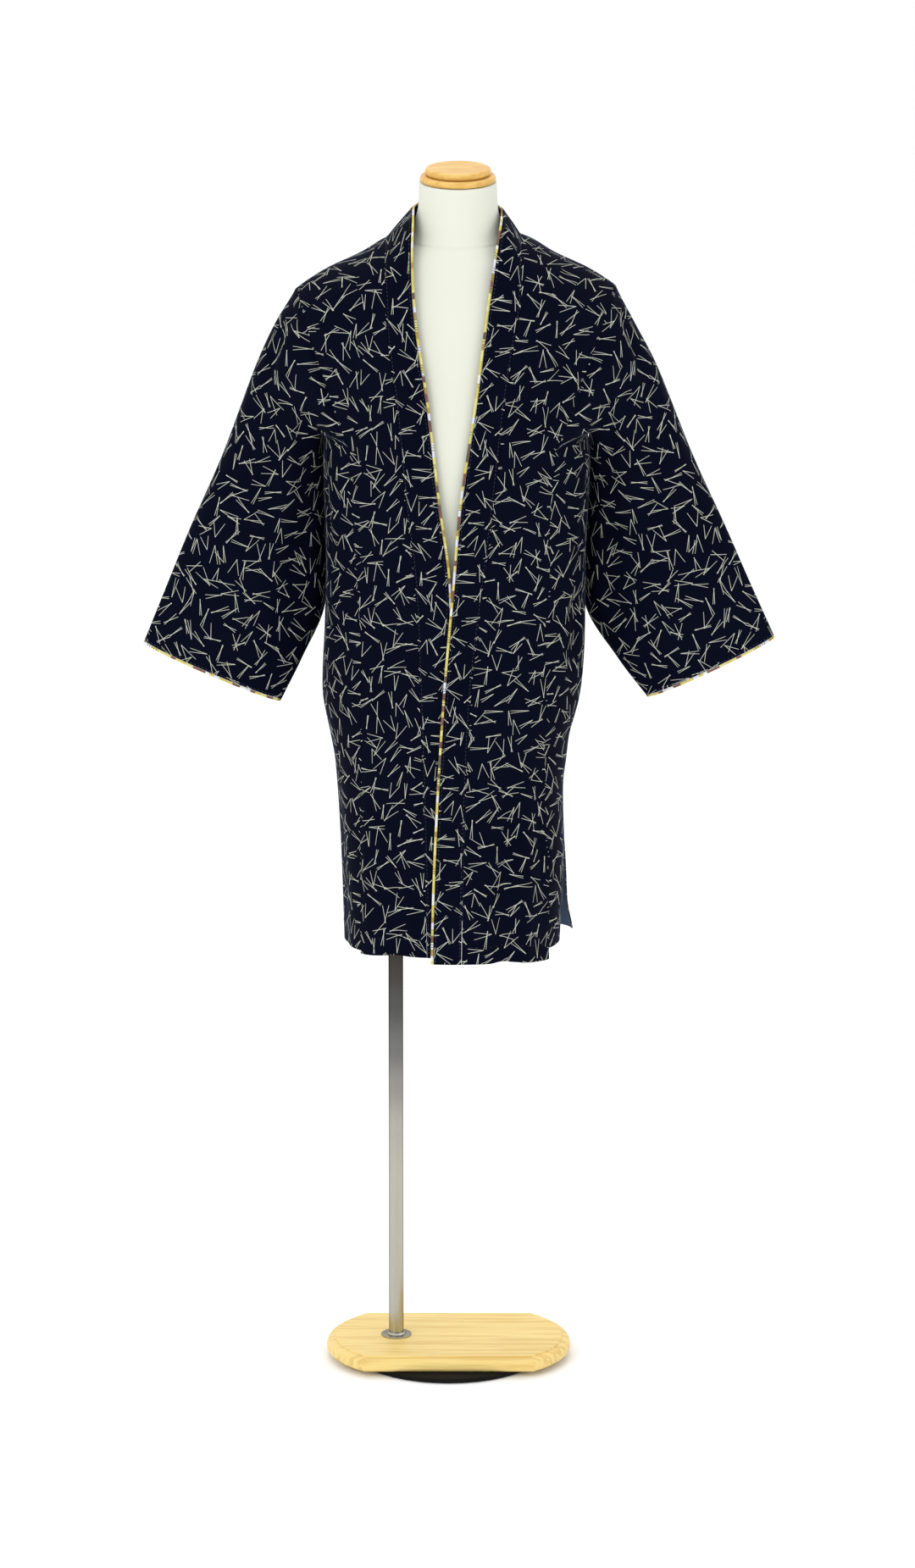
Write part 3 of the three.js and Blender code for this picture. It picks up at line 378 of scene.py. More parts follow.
# Stitches: thread width and its share left at the ends, bow above the cloth, how deep the ends sink
# and how far they slant, and then the rows of them above the turned-up hem and beside the edgings.
STITCH = {
    "thread": 0.75,
    "end": 0.35,
    "bow": 0.35,
    "sunk": 0.1,
    "slant": 0.5,
    "steps": 4,
    "sides": 5,
}
HEM_STITCHES = {"above": 22.0, "spacing": 9.0, "length": 2.2}
EDGE_STITCHES = {"inset": 2.4, "spacing": 5.2, "length": 3.2}

# The cover's seam round the base of the neck, higher at the front by twice the tilt.
NECK_SEAM = {"height": 1486.0, "tilt": 1.5, "width": 1.5, "depth": 1.3}

# The collar band: how often its free edge is smoothed, how far its middle rises, and how far across
# it still lies as the cloth that it is sewn to.
BAND = {"smoothings": 12, "crown": 0.5, "settledBy": 0.45}

# Where each piece lies on the printed cloth, so that no two show the same part of it.
CLOTH_PLACES = {"body": 400.0, "panel": 170.0, "sleeve": 700.0, "sleeveTop": 300.0, "band": 900.0}

# The stage, in metres: each light's place, where it points and its width, the floor and the camera.
LIGHTS = {
    "key": ((-2.6, -3.6, 3.2), (0.0, 0.0, 1.1), 2.4),
    "fill": ((3.4, -3.0, 2.2), (0.0, 0.0, 1.1), 2.4),
    "top": ((0.0, 1.4, 4.2), (0.0, 0.0, 1.2), 2.6),
}
FLOOR = {"reach": 60.0, "cells": 12, "height": -0.0005}
CAMERA = {"x": 0.0114, "sensor": 36.0, "clip": 200.0}
FINE_RELIEF = 0.0003

# ---- How finely the pieces are drawn ----
VENT_ROWS, LOWER_ROWS, UPPER_ROWS, NECK_ROWS = 4, 15, 12, 4
BODY_ROWS = LOWER_ROWS + UPPER_ROWS
ROW_STEPS = 7
BODY_COLUMNS = 46
PANEL_COLUMNS = 30
SLEEVE_RINGS = 74
BAND_COLUMNS = 12
UNDERARM_STEPS = 32
ARMHOLE_STEPS = 6
EDGING_SIDES = 12
FORM_DRAWN = {"sides": 128, "step": 4.0, "fineStep": 1.2, "fineFrom": 1470, "fineTo": 1500}


# ---- Settings a user may change ----


def number(name, description, default, **limits):
    return bpy.props.FloatProperty(name=name, description=description, default=default, **limits)


def size(name, description, default):
    return number(name, description, default, subtype="DISTANCE", unit="LENGTH")


def share(name, description, default, highest=1.0):
    return number(name, description, default, min=0.0, max=highest)


def power(name, description, default):
    return number(name, description, default, unit="POWER")


def colour(name, description, default):
    return bpy.props.FloatVectorProperty(
        name=name,
        description=description,
        default=default,
        size=3,
        min=0.0,
        max=1.0,
        subtype="COLOR",
    )


class HappiClothSettings(bpy.types.PropertyGroup):
    thickness: size("Cloth thickness", "Thickness of one layer of the coat's cloth", 0.0014)
    band_thickness: size("Collar thickness", "Thickness of the doubled collar band", 0.003)
    crease_depth: share("Crease depth", "How deep the small creases are, 1 as measured", 1.0, 2.0)
    ground: colour("Ground", "Colour of the cloth between the needles", (0.0007, 0.0015, 0.0080))
    needle: colour("Needles", "Colour of the printed pine needles", (0.60, 0.63, 0.525))
    reverse: colour("Reverse", "Colour of the unprinted side of the cloth", (0.030, 0.058, 0.115))
    needle_length: size("Needle length", "Length of the longest printed needle", 0.0255)
    needle_width: size("Needle width", "Width of a printed needle", 0.00056)
    needle_cell: size("Needle spacing", "Spacing of the needle pairs in one print layer", 0.0318)
    repeat: bpy.props.IntProperty(
        name="Repeat",
        description="Needle pairs across one repeat of the print",
        default=11,
        min=2,
        max=40,
    )
    weave_pitch: size("Weave pitch", "Spacing of the threads", 0.0006)


class HappiStandSettings(bpy.types.PropertyGroup):
    cover: colour("Form cover", "Colour of the form's knit cover", (0.71, 0.728, 0.632))
    cap: colour("Neck cap wood", "Colour of the turned cap", (0.71, 0.45, 0.12))
    board: colour("Board wood", "Colour of the base board", (0.775, 0.58, 0.20))
    disc: colour("Base disc", "Colour of the disc under the board", (0.0045, 0.0042, 0.0036))
    steel: colour("Pole", "Colour of the plated pole", (0.49, 0.475, 0.405))


class HappiStageSettings(bpy.types.PropertyGroup):
    camera_distance: size("Camera distance", "From the origin back to the camera, level", 14.0)
    camera_height: size("Camera height", "Height of the camera above the floor", 4.8)
    camera_pitch: number(
        "Camera pitch", "How far the camera looks down", math.radians(16.06), subtype="ANGLE"
    )
    focal_length: number("Focal length", "Lens focal length in millimetres", 261.1, min=20.0)
    world_light: share("World light", "Strength of the white surroundings", 1.04, 4.0)
    key_power: power("Key light", "Power of the large front light", 46.0)
    fill_power: power("Fill light", "Power of the light from the other side", 16.0)
    top_power: power("Top light", "Power of the light from above and behind", 30.0)


# ---- Reading tables and the coat's own surface ----


def side_name(side):
    """The side's name in the tables and in the names of pieces."""
    return "right" if side == RIGHT else "left"


def smooth(value, low, high):
    """An S-shaped rise from 0 at low to 1 at high."""
    t = np.clip((np.asarray(value, float) - low) / (high - low), 0, 1)
    return t * t * (3 - 2 * t)


def mix(a, b, t):
    """Part t of the way from a to b."""
    return a + (b - a) * t


def unit(vectors):
    """The same directions, each of length 1."""
    return vectors / np.maximum(np.linalg.norm(vectors, axis=-1, keepdims=True), 1e-9)


def read_table(rows, key, at):
    """Every column as a smooth curve through its rows, read where the key column is at."""
    keys = rows[key]
    last = len(keys) - 1
    value = np.clip(np.asarray(at, float), keys[0], keys[-1])
    low = np.clip(np.searchsorted(keys, value, side="right") - 1, 0, last - 1)
    span = keys[low + 1] - keys[low]
    t = (value - keys[low]) / span
    before = np.maximum(np.arange(last + 1) - 1, 0)
    after = np.minimum(np.arange(last + 1) + 1, last)
    found = {}
    for name, column in rows.items():
        slope = (column[after] - column[before]) / (keys[after] - keys[before])
        found[name] = (
            (2 * t**3 - 3 * t**2 + 1) * column[low]
            + (t**3 - 2 * t**2 + t) * span * slope[low]
            + (3 * t**2 - 2 * t**3) * column[low + 1]
            + (t**3 - t**2) * span * slope[low + 1]
        )
    return found


def shoulder_height(x):
    """Height of the shoulder line at this reach."""
    return read_table(SHOULDER_LINE, "reach", np.abs(x))["height"]


def creased(across, along, creases, scale_across, scale_along):
    """How far small creases move a surface, whose own coordinates are scaled to millimetres."""
    moved = np.zeros(np.broadcast(across, along).shape)
    for start_across, start_along, end_across, end_along, bow, half_width, depth in creases:
        run_across = (end_across - start_across) * scale_across
        run_along = (end_along - start_along) * scale_along
        length = np.hypot(run_across, run_along)
        run = (run_across / length, run_along / length)
        p = (across - start_across) * scale_across
        q = (along - start_along) * scale_along
        t = np.clip((p * run[0] + q * run[1]) / length, 0, 1)
        off = p * run[1] - q * run[0] - bow * np.sin(np.pi * t)
        fade = np.sin(np.pi * t) ** CREASE["fade"]
        width = half_width * (1 + CREASE["widening"] * t)
        moved += depth * fade * np.exp(-((off / width) ** 2))
    return moved


def body_fold(turn, height):
    """How far folds and creases move the body's surface outwards at this place."""
    moved = np.zeros(np.broadcast(turn, height).shape)
    for fold_turn, drift, top, bottom, half_width, depth in BODY_FOLDS:
        down = (top - height) / (top - bottom)
        away = np.mod(turn - fold_turn - drift * down + 180, 360) - 180
        if bottom <= LOWEST_HEM:
            along = smooth(down, 0, FOLD_FULL_AT)
        else:
            along = np.sin(np.pi * np.clip(down, 0, 1))
        moved += depth * along * np.exp(-((away / half_width) ** 2))
    depth = bpy.context.scene.happi_cloth.crease_depth
    return moved + depth * creased(turn, height, BODY_CREASES, math.radians(1) * BODY_RADIUS, 1.0)


def section_share(x, reach):
    """A level section's depth at x, as a share of its full depth."""
    across = np.minimum(np.abs(x) / reach, 1)
    return (1 - across ** (2 / SECTION_SQUARENESS)) ** (SECTION_SQUARENESS / 2)


def sweep_of(x, reach):
    """Degrees round a level section, from straight ahead to x."""
    return np.degrees(np.arcsin(np.minimum(np.abs(x) / reach, 1) ** (1 / SECTION_SQUARENESS)))


def overlap_lift(side, face, x, height):
    """How far the left front stands off the right one that it lies over."""
    if side == RIGHT or face == BACK:
        return 0.0
    near = 1 - smooth(x, OVERLAP["fullReach"], OVERLAP["endReach"])
    low = 1 - smooth(height, OVERLAP["fullHeight"], OVERLAP["endHeight"])
    return OVERLAP["lift"] * near * low


def body_place(side, face, x, height, drop=None):
    """Points of the body and the directions straight out of the cloth there."""
    x, height = np.broadcast_arrays(np.asarray(x, float), np.asarray(height, float))
    if drop is None:
        drop = shoulder_height(x) - height
    section = read_table(BODY_SECTIONS, "height", height)
    reach = np.where(x < 0, section["right"], section["left"])
    depth = section["front"] if face == FRONT else section["back"]
    left_over = 1 - np.clip(drop / SHOULDER_ROUND, 0, 1)
    rounding = np.sqrt(1 - left_over**2)
    sweep = np.radians(sweep_of(x, reach))
    turn = np.sign(x) * (np.degrees(sweep) if face == FRONT else 180 - np.degrees(sweep))
    flat_x = np.sin(sweep) ** (2 - SECTION_SQUARENESS) / reach
    flat_y = np.cos(sweep) ** (2 - SECTION_SQUARENESS) / depth
    level = unit(np.stack([np.sign(x) * flat_x, face * flat_y, np.zeros_like(x)], axis=-1))
    slope = shoulder_height(np.abs(x) + 1) - shoulder_height(x)
    up = unit(np.stack([-np.sign(x) * slope, np.zeros_like(x), np.ones_like(x)], axis=-1))
    out = unit(level * rounding[..., None] + up * left_over[..., None])
    away = body_fold(turn, height) * rounding + overlap_lift(side, face, x, height)
    point = np.stack([x, face * depth * section_share(x, reach) * rounding, height], axis=-1)
    return point + out * away[..., None], out


def body_place_by_turn(side, turn, height, lift=0.0):
    """The same, by degrees round from the middle of the front (0) to that of the back (180)."""
    turn, height = np.broadcast_arrays(np.asarray(turn, float), np.asarray(height, float))
    ahead_half = turn < 90
    face = np.where(ahead_half, FRONT, BACK)
    sweep = np.radians(np.where(ahead_half, turn, 180 - turn))
    section = read_table(BODY_SECTIONS, "height", height)
    reach = section[side_name(side)]
    depth = np.where(ahead_half, section["front"], section["back"])
    across, ahead = np.sin(sweep), np.cos(sweep)
    x = side * reach * across**SECTION_SQUARENESS
    y = face * depth * ahead**SECTION_SQUARENESS
    flat_x = across ** (2 - SECTION_SQUARENESS) / reach
    flat_y = ahead ** (2 - SECTION_SQUARENESS) / depth
    out = unit(np.stack([side * flat_x, face * flat_y, np.zeros_like(x)], axis=-1))
    away = lift + body_fold(side * turn, height)
    away = away + np.where(ahead_half, overlap_lift(side, FRONT, x, height), 0)
    return np.stack([x, y, height], axis=-1) + out * away[..., None], out


def hem_height(side, face, u=0.0):
    """Height of a body half's hem, from its inner edge (u = 0) to its side seam (u = 1)."""
    hem = HEM[side_name(side)]
    near, far = ("back", "backSide") if face == BACK else ("front", "frontSide")
    return mix(hem[near], hem[far], smooth(u, HEM_SLOPES_FROM, 1))


def lower_height(hem, row):
    """Height of a row below the underarm, the first at the hem."""
    if row < VENT_ROWS:
        return mix(hem, VENT_TOP, row / VENT_ROWS)
    return mix(VENT_TOP, UNDERARM, (row - VENT_ROWS) / (LOWER_ROWS - VENT_ROWS))


def upper_height(x, row):
    """Height of a row above the underarm, the last on the shoulder line."""
    top = shoulder_height(x)
    return top - (top - UNDERARM) * (1 - row / UPPER_ROWS) ** 2


def side_seam(side, face, height):
    """Degrees from the middle of a face round to its side seam."""
    if face == BACK:
        climbed = smooth(height, VENT_TOP, UNDERARM)
        return mix(BACK_SIDE_SEAM["vent"], BACK_SIDE_SEAM["underarm"], climbed)
    return read_table(SIDE_SEAMS, "height", height)[side_name(side)]


def armhole_x(side, face, row):
    """Reach of the armhole seam at a row above the underarm."""
    name = side_name(side)
    reach = read_table(BODY_SECTIONS, "height", UNDERARM)[name]
    under = reach * np.sin(np.radians(side_seam(side, face, UNDERARM))) ** SECTION_SQUARENESS
    climbed = 1 - (1 - row / UPPER_ROWS) ** 2
    return side * mix(under, SHOULDER_REACH[name], climbed**ARMHOLE_CURVE)


def inner_x(side, face, height, upper_row=0.0):
    """The inner seam: by the band in front, round the neck behind."""
    name = side_name(side)
    if face == FRONT:
        return read_table(BAND_ROWS, "height", height)[name + "Seam"]
    from_shoulder = (UPPER_ROWS - upper_row) / NECK_ROWS
    return side * NECK_SEAM_REACH[name] * np.cos(np.pi / 2 * np.minimum(from_shoulder, 1))


def inner_upper_place(side, face, row):
    """Reach and height of the inner seam at a row above the underarm."""
    height = upper_height(inner_x(side, face, BAND_ROWS["height"][-1], row), row)
    x = inner_x(side, face, height, row)
    height = upper_height(x, row)
    return inner_x(side, face, height, row), height


def vent_share(height):
    """How far down the vent this height is, from 0 to 1."""
    return smooth(VENT_TOP - height, 0, VENT_TOP - LOWEST_HEM)


def back_spread(side, height):
    """How far the back stands off at its vent edge: more down it, and most at the corner."""
    spread = VENT_SPREAD[side_name(side)]
    opened = np.maximum(VENT_TOP - height, 0) / (VENT_TOP - LOWEST_HEM)
    cornered = smooth(VENT_TIP - height, 0, VENT_TIP - LOWEST_HEM)
    return spread["back"] * opened + spread["tip"] * cornered


# ---- Meshes ----


def grid_out(points, around=False):
    """Directions straight out of a grid of points, from its neighbours."""
    along = np.gradient(points, axis=0)
    if around:
        across = np.roll(points, -1, axis=1) - np.roll(points, 1, axis=1)
    else:
        across = np.gradient(points, axis=1)
    return unit(np.cross(across, along))


def running_length(line):
    """How far along a line each of its points lies."""
    steps = np.linalg.norm(np.diff(line, axis=0), axis=1)
    return np.concatenate([[0], np.cumsum(steps)])


def make_object(name, vertices, faces, uvs, materials, replaced, indices=None, sharp=50):
    """A shaded object that rides on the coat's one body and stands for its CAD nodes."""
    mesh = bpy.data.meshes.new(name)
    placed = np.asarray(vertices, float) * MM
    placed[:, 0] += FORM_AXIS_X * MM
    mesh.from_pydata(placed.tolist(), [], faces)
    layer = mesh.uv_layers.new(name="cloth")
    layer.data.foreach_set("uv", np.asarray(uvs, np.float32).ravel())
    for material in materials:
        mesh.materials.append(material)
    if indices:
        mesh.polygons.foreach_set("material_index", np.asarray(indices, np.int32))
    mesh.update()
    mesh.validate()
    mesh.shade_smooth()
    mesh.set_sharp_from_angle(angle=math.radians(sharp))
    made = bpy.data.objects.new(name, mesh)
    bpy.context.scene.collection.objects.link(made)
    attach(made, "root")
    if replaced:
        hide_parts(*replaced)
    return made


def facing(vertices, faces, uvs):
    """Turns every face over, cloth coordinates as well, if the closed mesh is inside out."""
    triangles = np.array([[f[0], f[i], f[i + 1]] for f in faces for i in range(1, len(f) - 1)])
    a, b, c = (vertices[triangles[:, i]] for i in range(3))
    if np.einsum("ij,ij->i", a, np.cross(b, c)).sum() >= 0:
        return faces, uvs
    turned, start = [], 0
    for face in faces:
        turned.extend(uvs[start : start + len(face)][::-1])
        start += len(face)
    return [face[::-1] for face in faces], turned


def tube_corners(rows, sides, closed=False):
    """Rows and columns of each face on a tube of rings, with flat ends or closed on itself."""
    tube = [
        [(r, c), (r, c + 1), (r + 1, c + 1), (r + 1, c)]
        for r in range(rows if closed else rows - 1)
        for c in range(sides)
    ]
    if not closed:
        tube.append([(0, c) for c in reversed(range(sides))])
        tube.append([(rows - 1, c) for c in range(sides)])
    return tube


def line_above(points, outs, above):
    """The line across a grid that lies this far above its first row."""
    rows = np.arange(len(points))
    line, directions = [], []
    for c in range(points.shape[1]):
        row = np.interp(points[0, c, 2] + above, points[:, c, 2], rows)
        low = int(row)
        line.append(mix(points[low, c], points[low + 1, c], row - low))
        directions.append(mix(outs[low, c], outs[low + 1, c], row - low))
    return np.array(line), unit(np.array(directions))


def make_stitches(name, line, outs, row):
    """A row of short slanted stitches along a line on the cloth, each a bowed bead of thread."""
    reached = running_length(line)
    starts = np.arange(row["spacing"], reached[-1] - row["spacing"], row["spacing"])
    shares = np.linspace(0, 1, STITCH["steps"] + 1)
    turns = np.linspace(0, 2 * np.pi, STITCH["sides"], endpoint=False)
    bow = np.sin(np.pi * shares)[:, None]
    thick = STITCH["thread"] / 2 * mix(STITCH["end"], 1, np.sqrt(bow))
    tube = tube_corners(len(shares), len(turns))
    vertices, faces = [], []

    def at(values, places):
        return np.stack([np.interp(places, reached, values[:, i]) for i in range(3)], axis=1)

    for start in starts:
        places = start + shares * row["length"]
        middle, out = at(line, places), unit(at(outs, places))
        onward = unit(middle[-1] - middle[0])
        across = np.cross(onward, out)
        middle = middle + across * (shares[:, None] - 0.5) * STITCH["slant"]
        middle = middle + out * (bow * STITCH["bow"] - STITCH["sunk"])
        first = len(vertices)
        for c, o, a, t in zip(middle, out, across, thick):
            vertices.extend(c + t * (math.cos(turn) * a + math.sin(turn) * o) for turn in turns)
        for corners in tube:
            faces.append([first + p * len(turns) + q % len(turns) for p, q in corners])
    vertices = np.array(vertices)
    uvs = [(vertices[v][2] * MM, 0.0) for face in faces for v in face]
    faces, uvs = facing(vertices, faces, uvs)
    materials = [kept("Navy sewing thread", sewing_thread)]
    return make_object(name, vertices, faces, uvs, materials, [], sharp=80)


def wall(outer, inner, flat, around=False):
    """Vertices, faces, UVs and material numbers of a wall between two grids. flat is the grid of
    cloth coordinates, with one column more than the points where the columns close round."""
    rows, columns = outer.shape[:2]
    vertices = np.concatenate([outer.reshape(-1, 3), inner.reshape(-1, 3)])
    layer = rows * columns
    faces, uvs, indices = [], [], []
    end = rows - 1
    edge = columns if around else columns - 1

    def add(corners, places, index):
        faces.append(corners)
        uvs.extend(flat[r][c] for r, c in places)
        indices.append(index)

    def at(number, row, column):
        return number * layer + row * columns + column % columns

    def rim(one, other):
        corners = [at(0, *one), at(1, *one), at(1, *other), at(0, *other)]
        add(corners, [one, one, other, other], 0)

    for r in range(end):
        for c in range(edge):
            corners = [(r, c), (r, c + 1), (r + 1, c + 1), (r + 1, c)]
            add([at(0, *p) for p in corners], corners, 0)
            turned = corners[::-1]
            add([at(1, *p) for p in turned], turned, 1)
        if not around:
            rim((r + 1, 0), (r, 0))
            rim((r, edge), (r + 1, edge))
    for c in range(edge):
        rim((0, c), (0, c + 1))
        rim((end, c + 1), (end, c))
    return vertices, faces, uvs, indices


def make_cloth(name, points, outs, thickness, flat, reverse=True, proud=0.0, around=False):
    """A cut piece: a cloth wall whose outer side is the points, moved out by proud."""
    thick = thickness / MM
    vertices, faces, uvs, indices = wall(
        points + outs * proud, points + outs * (proud - thick), flat, around
    )
    faces, uvs = facing(vertices, faces, uvs)
    materials = [kept("Printed cotton", printed_cloth)]
    if reverse:
        materials.append(kept("Cotton reverse", reverse_cloth))
    else:
        indices = None
    return make_object(
        "happi_" + name, vertices, faces, uvs, materials, [name], indices
    )


def make_edging(name, node, edge, inner, outs, edging, closed=False):
    """A narrow folded strip along a free edge: an oval section, with flat ends or closed."""
    beyond = unit(edge - inner)
    half_width, half_thickness = edging["width"] / 2, edging["thickness"] / 2
    centres = edge + beyond * (SEAM_GAP + half_width) - outs * (half_thickness - edging["proud"])
    sides = EDGING_SIDES
    turns = np.linspace(0, 2 * np.pi, sides, endpoint=False)
    ring = np.cos(turns)[None, :, None] * half_width * beyond[:, None, :]
    ring = ring + np.sin(turns)[None, :, None] * half_thickness * outs[:, None, :]
    vertices = (centres[:, None, :] + ring).reshape(-1, 3)
    rows = len(centres)
    along = running_length(np.concatenate([centres, centres[:1]])) * MM
    round_about = np.arange(sides + 1) / sides * 2 * (half_width + half_thickness) * MM
    tube = tube_corners(rows, sides, closed)
    faces = [[(p % rows) * sides + q % sides for p, q in corners] for corners in tube]
    uvs = [(along[p], round_about[q]) for corners in tube for p, q in corners]
    faces, uvs = facing(vertices, faces, uvs)
    materials = [kept("Mixed print edging", edging_cloth)]
    return make_object(name, vertices, faces, uvs, materials, [node], sharp=70)


# ---- Materials ----


def toned(base, share):
    """A colour made darker, or lighter where share is above 1."""
    return tuple(value * share for value in base)


class Nodes:
    """Short names for the shader nodes that these materials use."""

    def __init__(self, tree):
        self.tree = tree

    def add(self, kind, **settings):
        node = self.tree.nodes.new(kind)
        for name, value in settings.items():
            setattr(node, name, value)
        return node

    def set(self, socket, value):
        if isinstance(value, bpy.types.NodeSocket):
            self.tree.links.new(value, socket)
        elif value is not None:
            socket.default_value = value

    def fed(self, kind, *values, **settings):
        """A node whose first sockets have these values."""
        node = self.add(kind, **settings)
        for socket, value in zip(node.inputs, values):
            self.set(socket, value)
        return node

    def math(self, operation, *values):
        return self.fed("ShaderNodeMath", *values, operation=operation).outputs[0]

    def vector(self, operation, *values):
        return self.fed("ShaderNodeVectorMath", *values, operation=operation).outputs[0]

    def range(self, value, low, high, to_low=0.0, to_high=1.0):
        return self.fed("ShaderNodeMapRange", value, low, high, to_low, to_high).outputs[0]

    def mix(self, factor, a, b):
        node = self.add("ShaderNodeMix", data_type="RGBA")
        self.set(node.inputs["Factor"], factor)
        for name, value in (("A", a), ("B", b)):
            socket = next(s for s in node.inputs if s.name == name and s.type == "RGBA")
            self.set(socket, value if isinstance(value, bpy.types.NodeSocket) else (*value, 1.0))
        return next(s for s in node.outputs if s.type == "RGBA")

    def noise(self, vector, scale, detail=2.0, rough=0.5):
        node = self.add("ShaderNodeTexNoise")
        inputs = {"Vector": vector, "Scale": scale, "Detail": detail, "Roughness": rough}
        for name, value in inputs.items():
            self.set(node.inputs[name], value)
        return node.outputs["Fac"]

    def white(self, vector):
        return self.fed("ShaderNodeTexWhiteNoise", vector, noise_dimensions="3D").outputs["Color"]

    def split(self, vector):
        return self.fed("ShaderNodeSeparateXYZ", vector).outputs

    def cloth_place(self):
        return self.add("ShaderNodeUVMap", uv_map="cloth").outputs[0]

    def object_place(self):
        return self.add("ShaderNodeTexCoord").outputs["Object"]

    def ramp(self, factor, stops, interpolation):
        node = self.fed("ShaderNodeValToRGB", factor)
        node.color_ramp.interpolation = interpolation
        elements = node.color_ramp.elements
        while len(elements) < len(stops):
            elements.new(0.5)
        for element, (position, value) in zip(elements, stops):
            element.position = position
            element.color = (*value, 1.0)
        return node.outputs["Color"]

    def finish(self, base, rough=None, relief=None, strength=0.0, depth=FINE_RELIEF):
        """Sets the shader's colour and, where they are given, its roughness and small relief."""
        shader = self.tree.nodes["Principled BSDF"].inputs
        self.set(shader["Base Color"], base)
        self.set(shader["Roughness"], rough)
        if relief:
            bump = self.add("ShaderNodeBump")
            for name, value in (("Strength", strength), ("Distance", depth), ("Height", relief)):
                self.set(bump.inputs[name], value)
            self.set(shader["Normal"], bump.outputs[0])


def new_material(name, **constants):
    """A material with one Principled shader, whose constants are set on its own sockets."""
    material = bpy.data.materials.new(name)
    material.use_nodes = True
    shader = material.node_tree.nodes["Principled BSDF"]
    for socket, value in constants.items():
        shader.inputs[socket.replace("_", " ")].default_value = value
    return material, Nodes(material.node_tree)


def kept(name, make):
    """The material of this name, made on first use."""
    return bpy.data.materials.get(name) or make(name)


# The print: where its three layers start, in needle spacings, and how much of that they start up
# the cloth. Then, in each cell of a layer, how far a pair of needles strays from the middle, the
# shortest needle as a share of the longest, how much of a needle at most lies past the crossing,
# half the angle between the two and its spread, and the share of the needle's width at its crossing
# and at its far end. The last is how soft a printed edge is, in metres.
PRINT_OFFSETS = (0.37, 14.0, 7.63)
PRINT_SLANT = 0.618
PAIR_STRAY = 0.17
SHORTEST_NEEDLE = 0.68
LONGEST_CROSSING = 0.42
HALF_OPENING = {"least": 0.06, "spread": 0.30, "power": 1.7}
NEEDLE_TAPER = (1.12, 0.78)
PRINT_EDGE = 0.00015


def needle_layer(nodes, place, offset, cloth):
    """One layer of the print: in each cell, a pair of needles that meet or cross near one end."""
    cell, repeat, longest = cloth.needle_cell, float(cloth.repeat), cloth.needle_length
    shift = (offset, offset * PRINT_SLANT, 0.0)
    scaled = nodes.vector("MULTIPLY_ADD", place, (1 / cell, 1 / cell, 0.0), shift)
    number = nodes.vector("FLOOR", scaled)
    number = nodes.vector("WRAP", number, (repeat, repeat, repeat), (0.0, 0.0, 0.0))
    number = nodes.vector("ADD", number, (offset * 3.7, offset * 5.3, 0.5))
    first = nodes.split(nodes.white(number))
    second = nodes.split(nodes.white(nodes.vector("ADD", number, (31.3, 17.9, 4.2))))
    room = nodes.vector("SUBTRACT", nodes.vector("FRACTION", scaled), (0.5, 0.5, 0.0))
    strays = [nodes.range(value, 0, 1, -PAIR_STRAY, PAIR_STRAY) for value in first[:2]]
    stray = nodes.fed("ShaderNodeCombineXYZ", *strays)
    local = nodes.vector("SUBTRACT", room, stray.outputs[0])
    turned = nodes.add("ShaderNodeVectorRotate", rotation_type="Z_AXIS")
    nodes.set(turned.inputs["Vector"], nodes.vector("MULTIPLY", local, (cell, cell, 0.0)))
    nodes.set(turned.inputs["Angle"], nodes.math("MULTIPLY", first[2], 2 * math.pi))
    x, y, _ = nodes.split(turned.outputs[0])
    length = nodes.range(second[0], 0, 1, longest * SHORTEST_NEEDLE, longest)
    crossing = nodes.math("MULTIPLY", length, nodes.range(second[1], 0.3, 1, 0.0, LONGEST_CROSSING))
    opening = nodes.math("POWER", second[2], HALF_OPENING["power"])
    opening = nodes.math("MULTIPLY_ADD", opening, HALF_OPENING["spread"], HALF_OPENING["least"])
    back = nodes.math("MULTIPLY", crossing, -1.0)
    x = nodes.math("ADD", x, nodes.math("MULTIPLY_ADD", length, 0.5, back))
    far = nodes.math("SUBTRACT", length, crossing)
    ahead = nodes.math("GREATER_THAN", x, 0.0)
    behind = nodes.math("SUBTRACT", 1.0, ahead)
    limit = nodes.math("MULTIPLY_ADD", far, ahead, nodes.math("MULTIPLY", crossing, behind))
    x = nodes.math("ABSOLUTE", x)
    y = nodes.math("ABSOLUTE", y)
    cosine, sine = nodes.math("COSINE", opening), nodes.math("SINE", opening)
    run = nodes.math("MULTIPLY_ADD", x, cosine, nodes.math("MULTIPLY", y, sine))
    run = nodes.math("MINIMUM", nodes.math("MAXIMUM", run, 0.0), limit)
    gap_x = nodes.math("SUBTRACT", x, nodes.math("MULTIPLY", run, cosine))
    gap_y = nodes.math("SUBTRACT", y, nodes.math("MULTIPLY", run, sine))
    squares = nodes.math("MULTIPLY_ADD", gap_x, gap_x, nodes.math("MULTIPLY", gap_y, gap_y))
    distance = nodes.math("SQRT", squares)
    widths = (cloth.needle_width / 2 * share for share in NEEDLE_TAPER)
    thin = nodes.range(run, 0, longest, *widths)
    return nodes.range(nodes.math("SUBTRACT", thin, distance), -PRINT_EDGE, PRINT_EDGE)


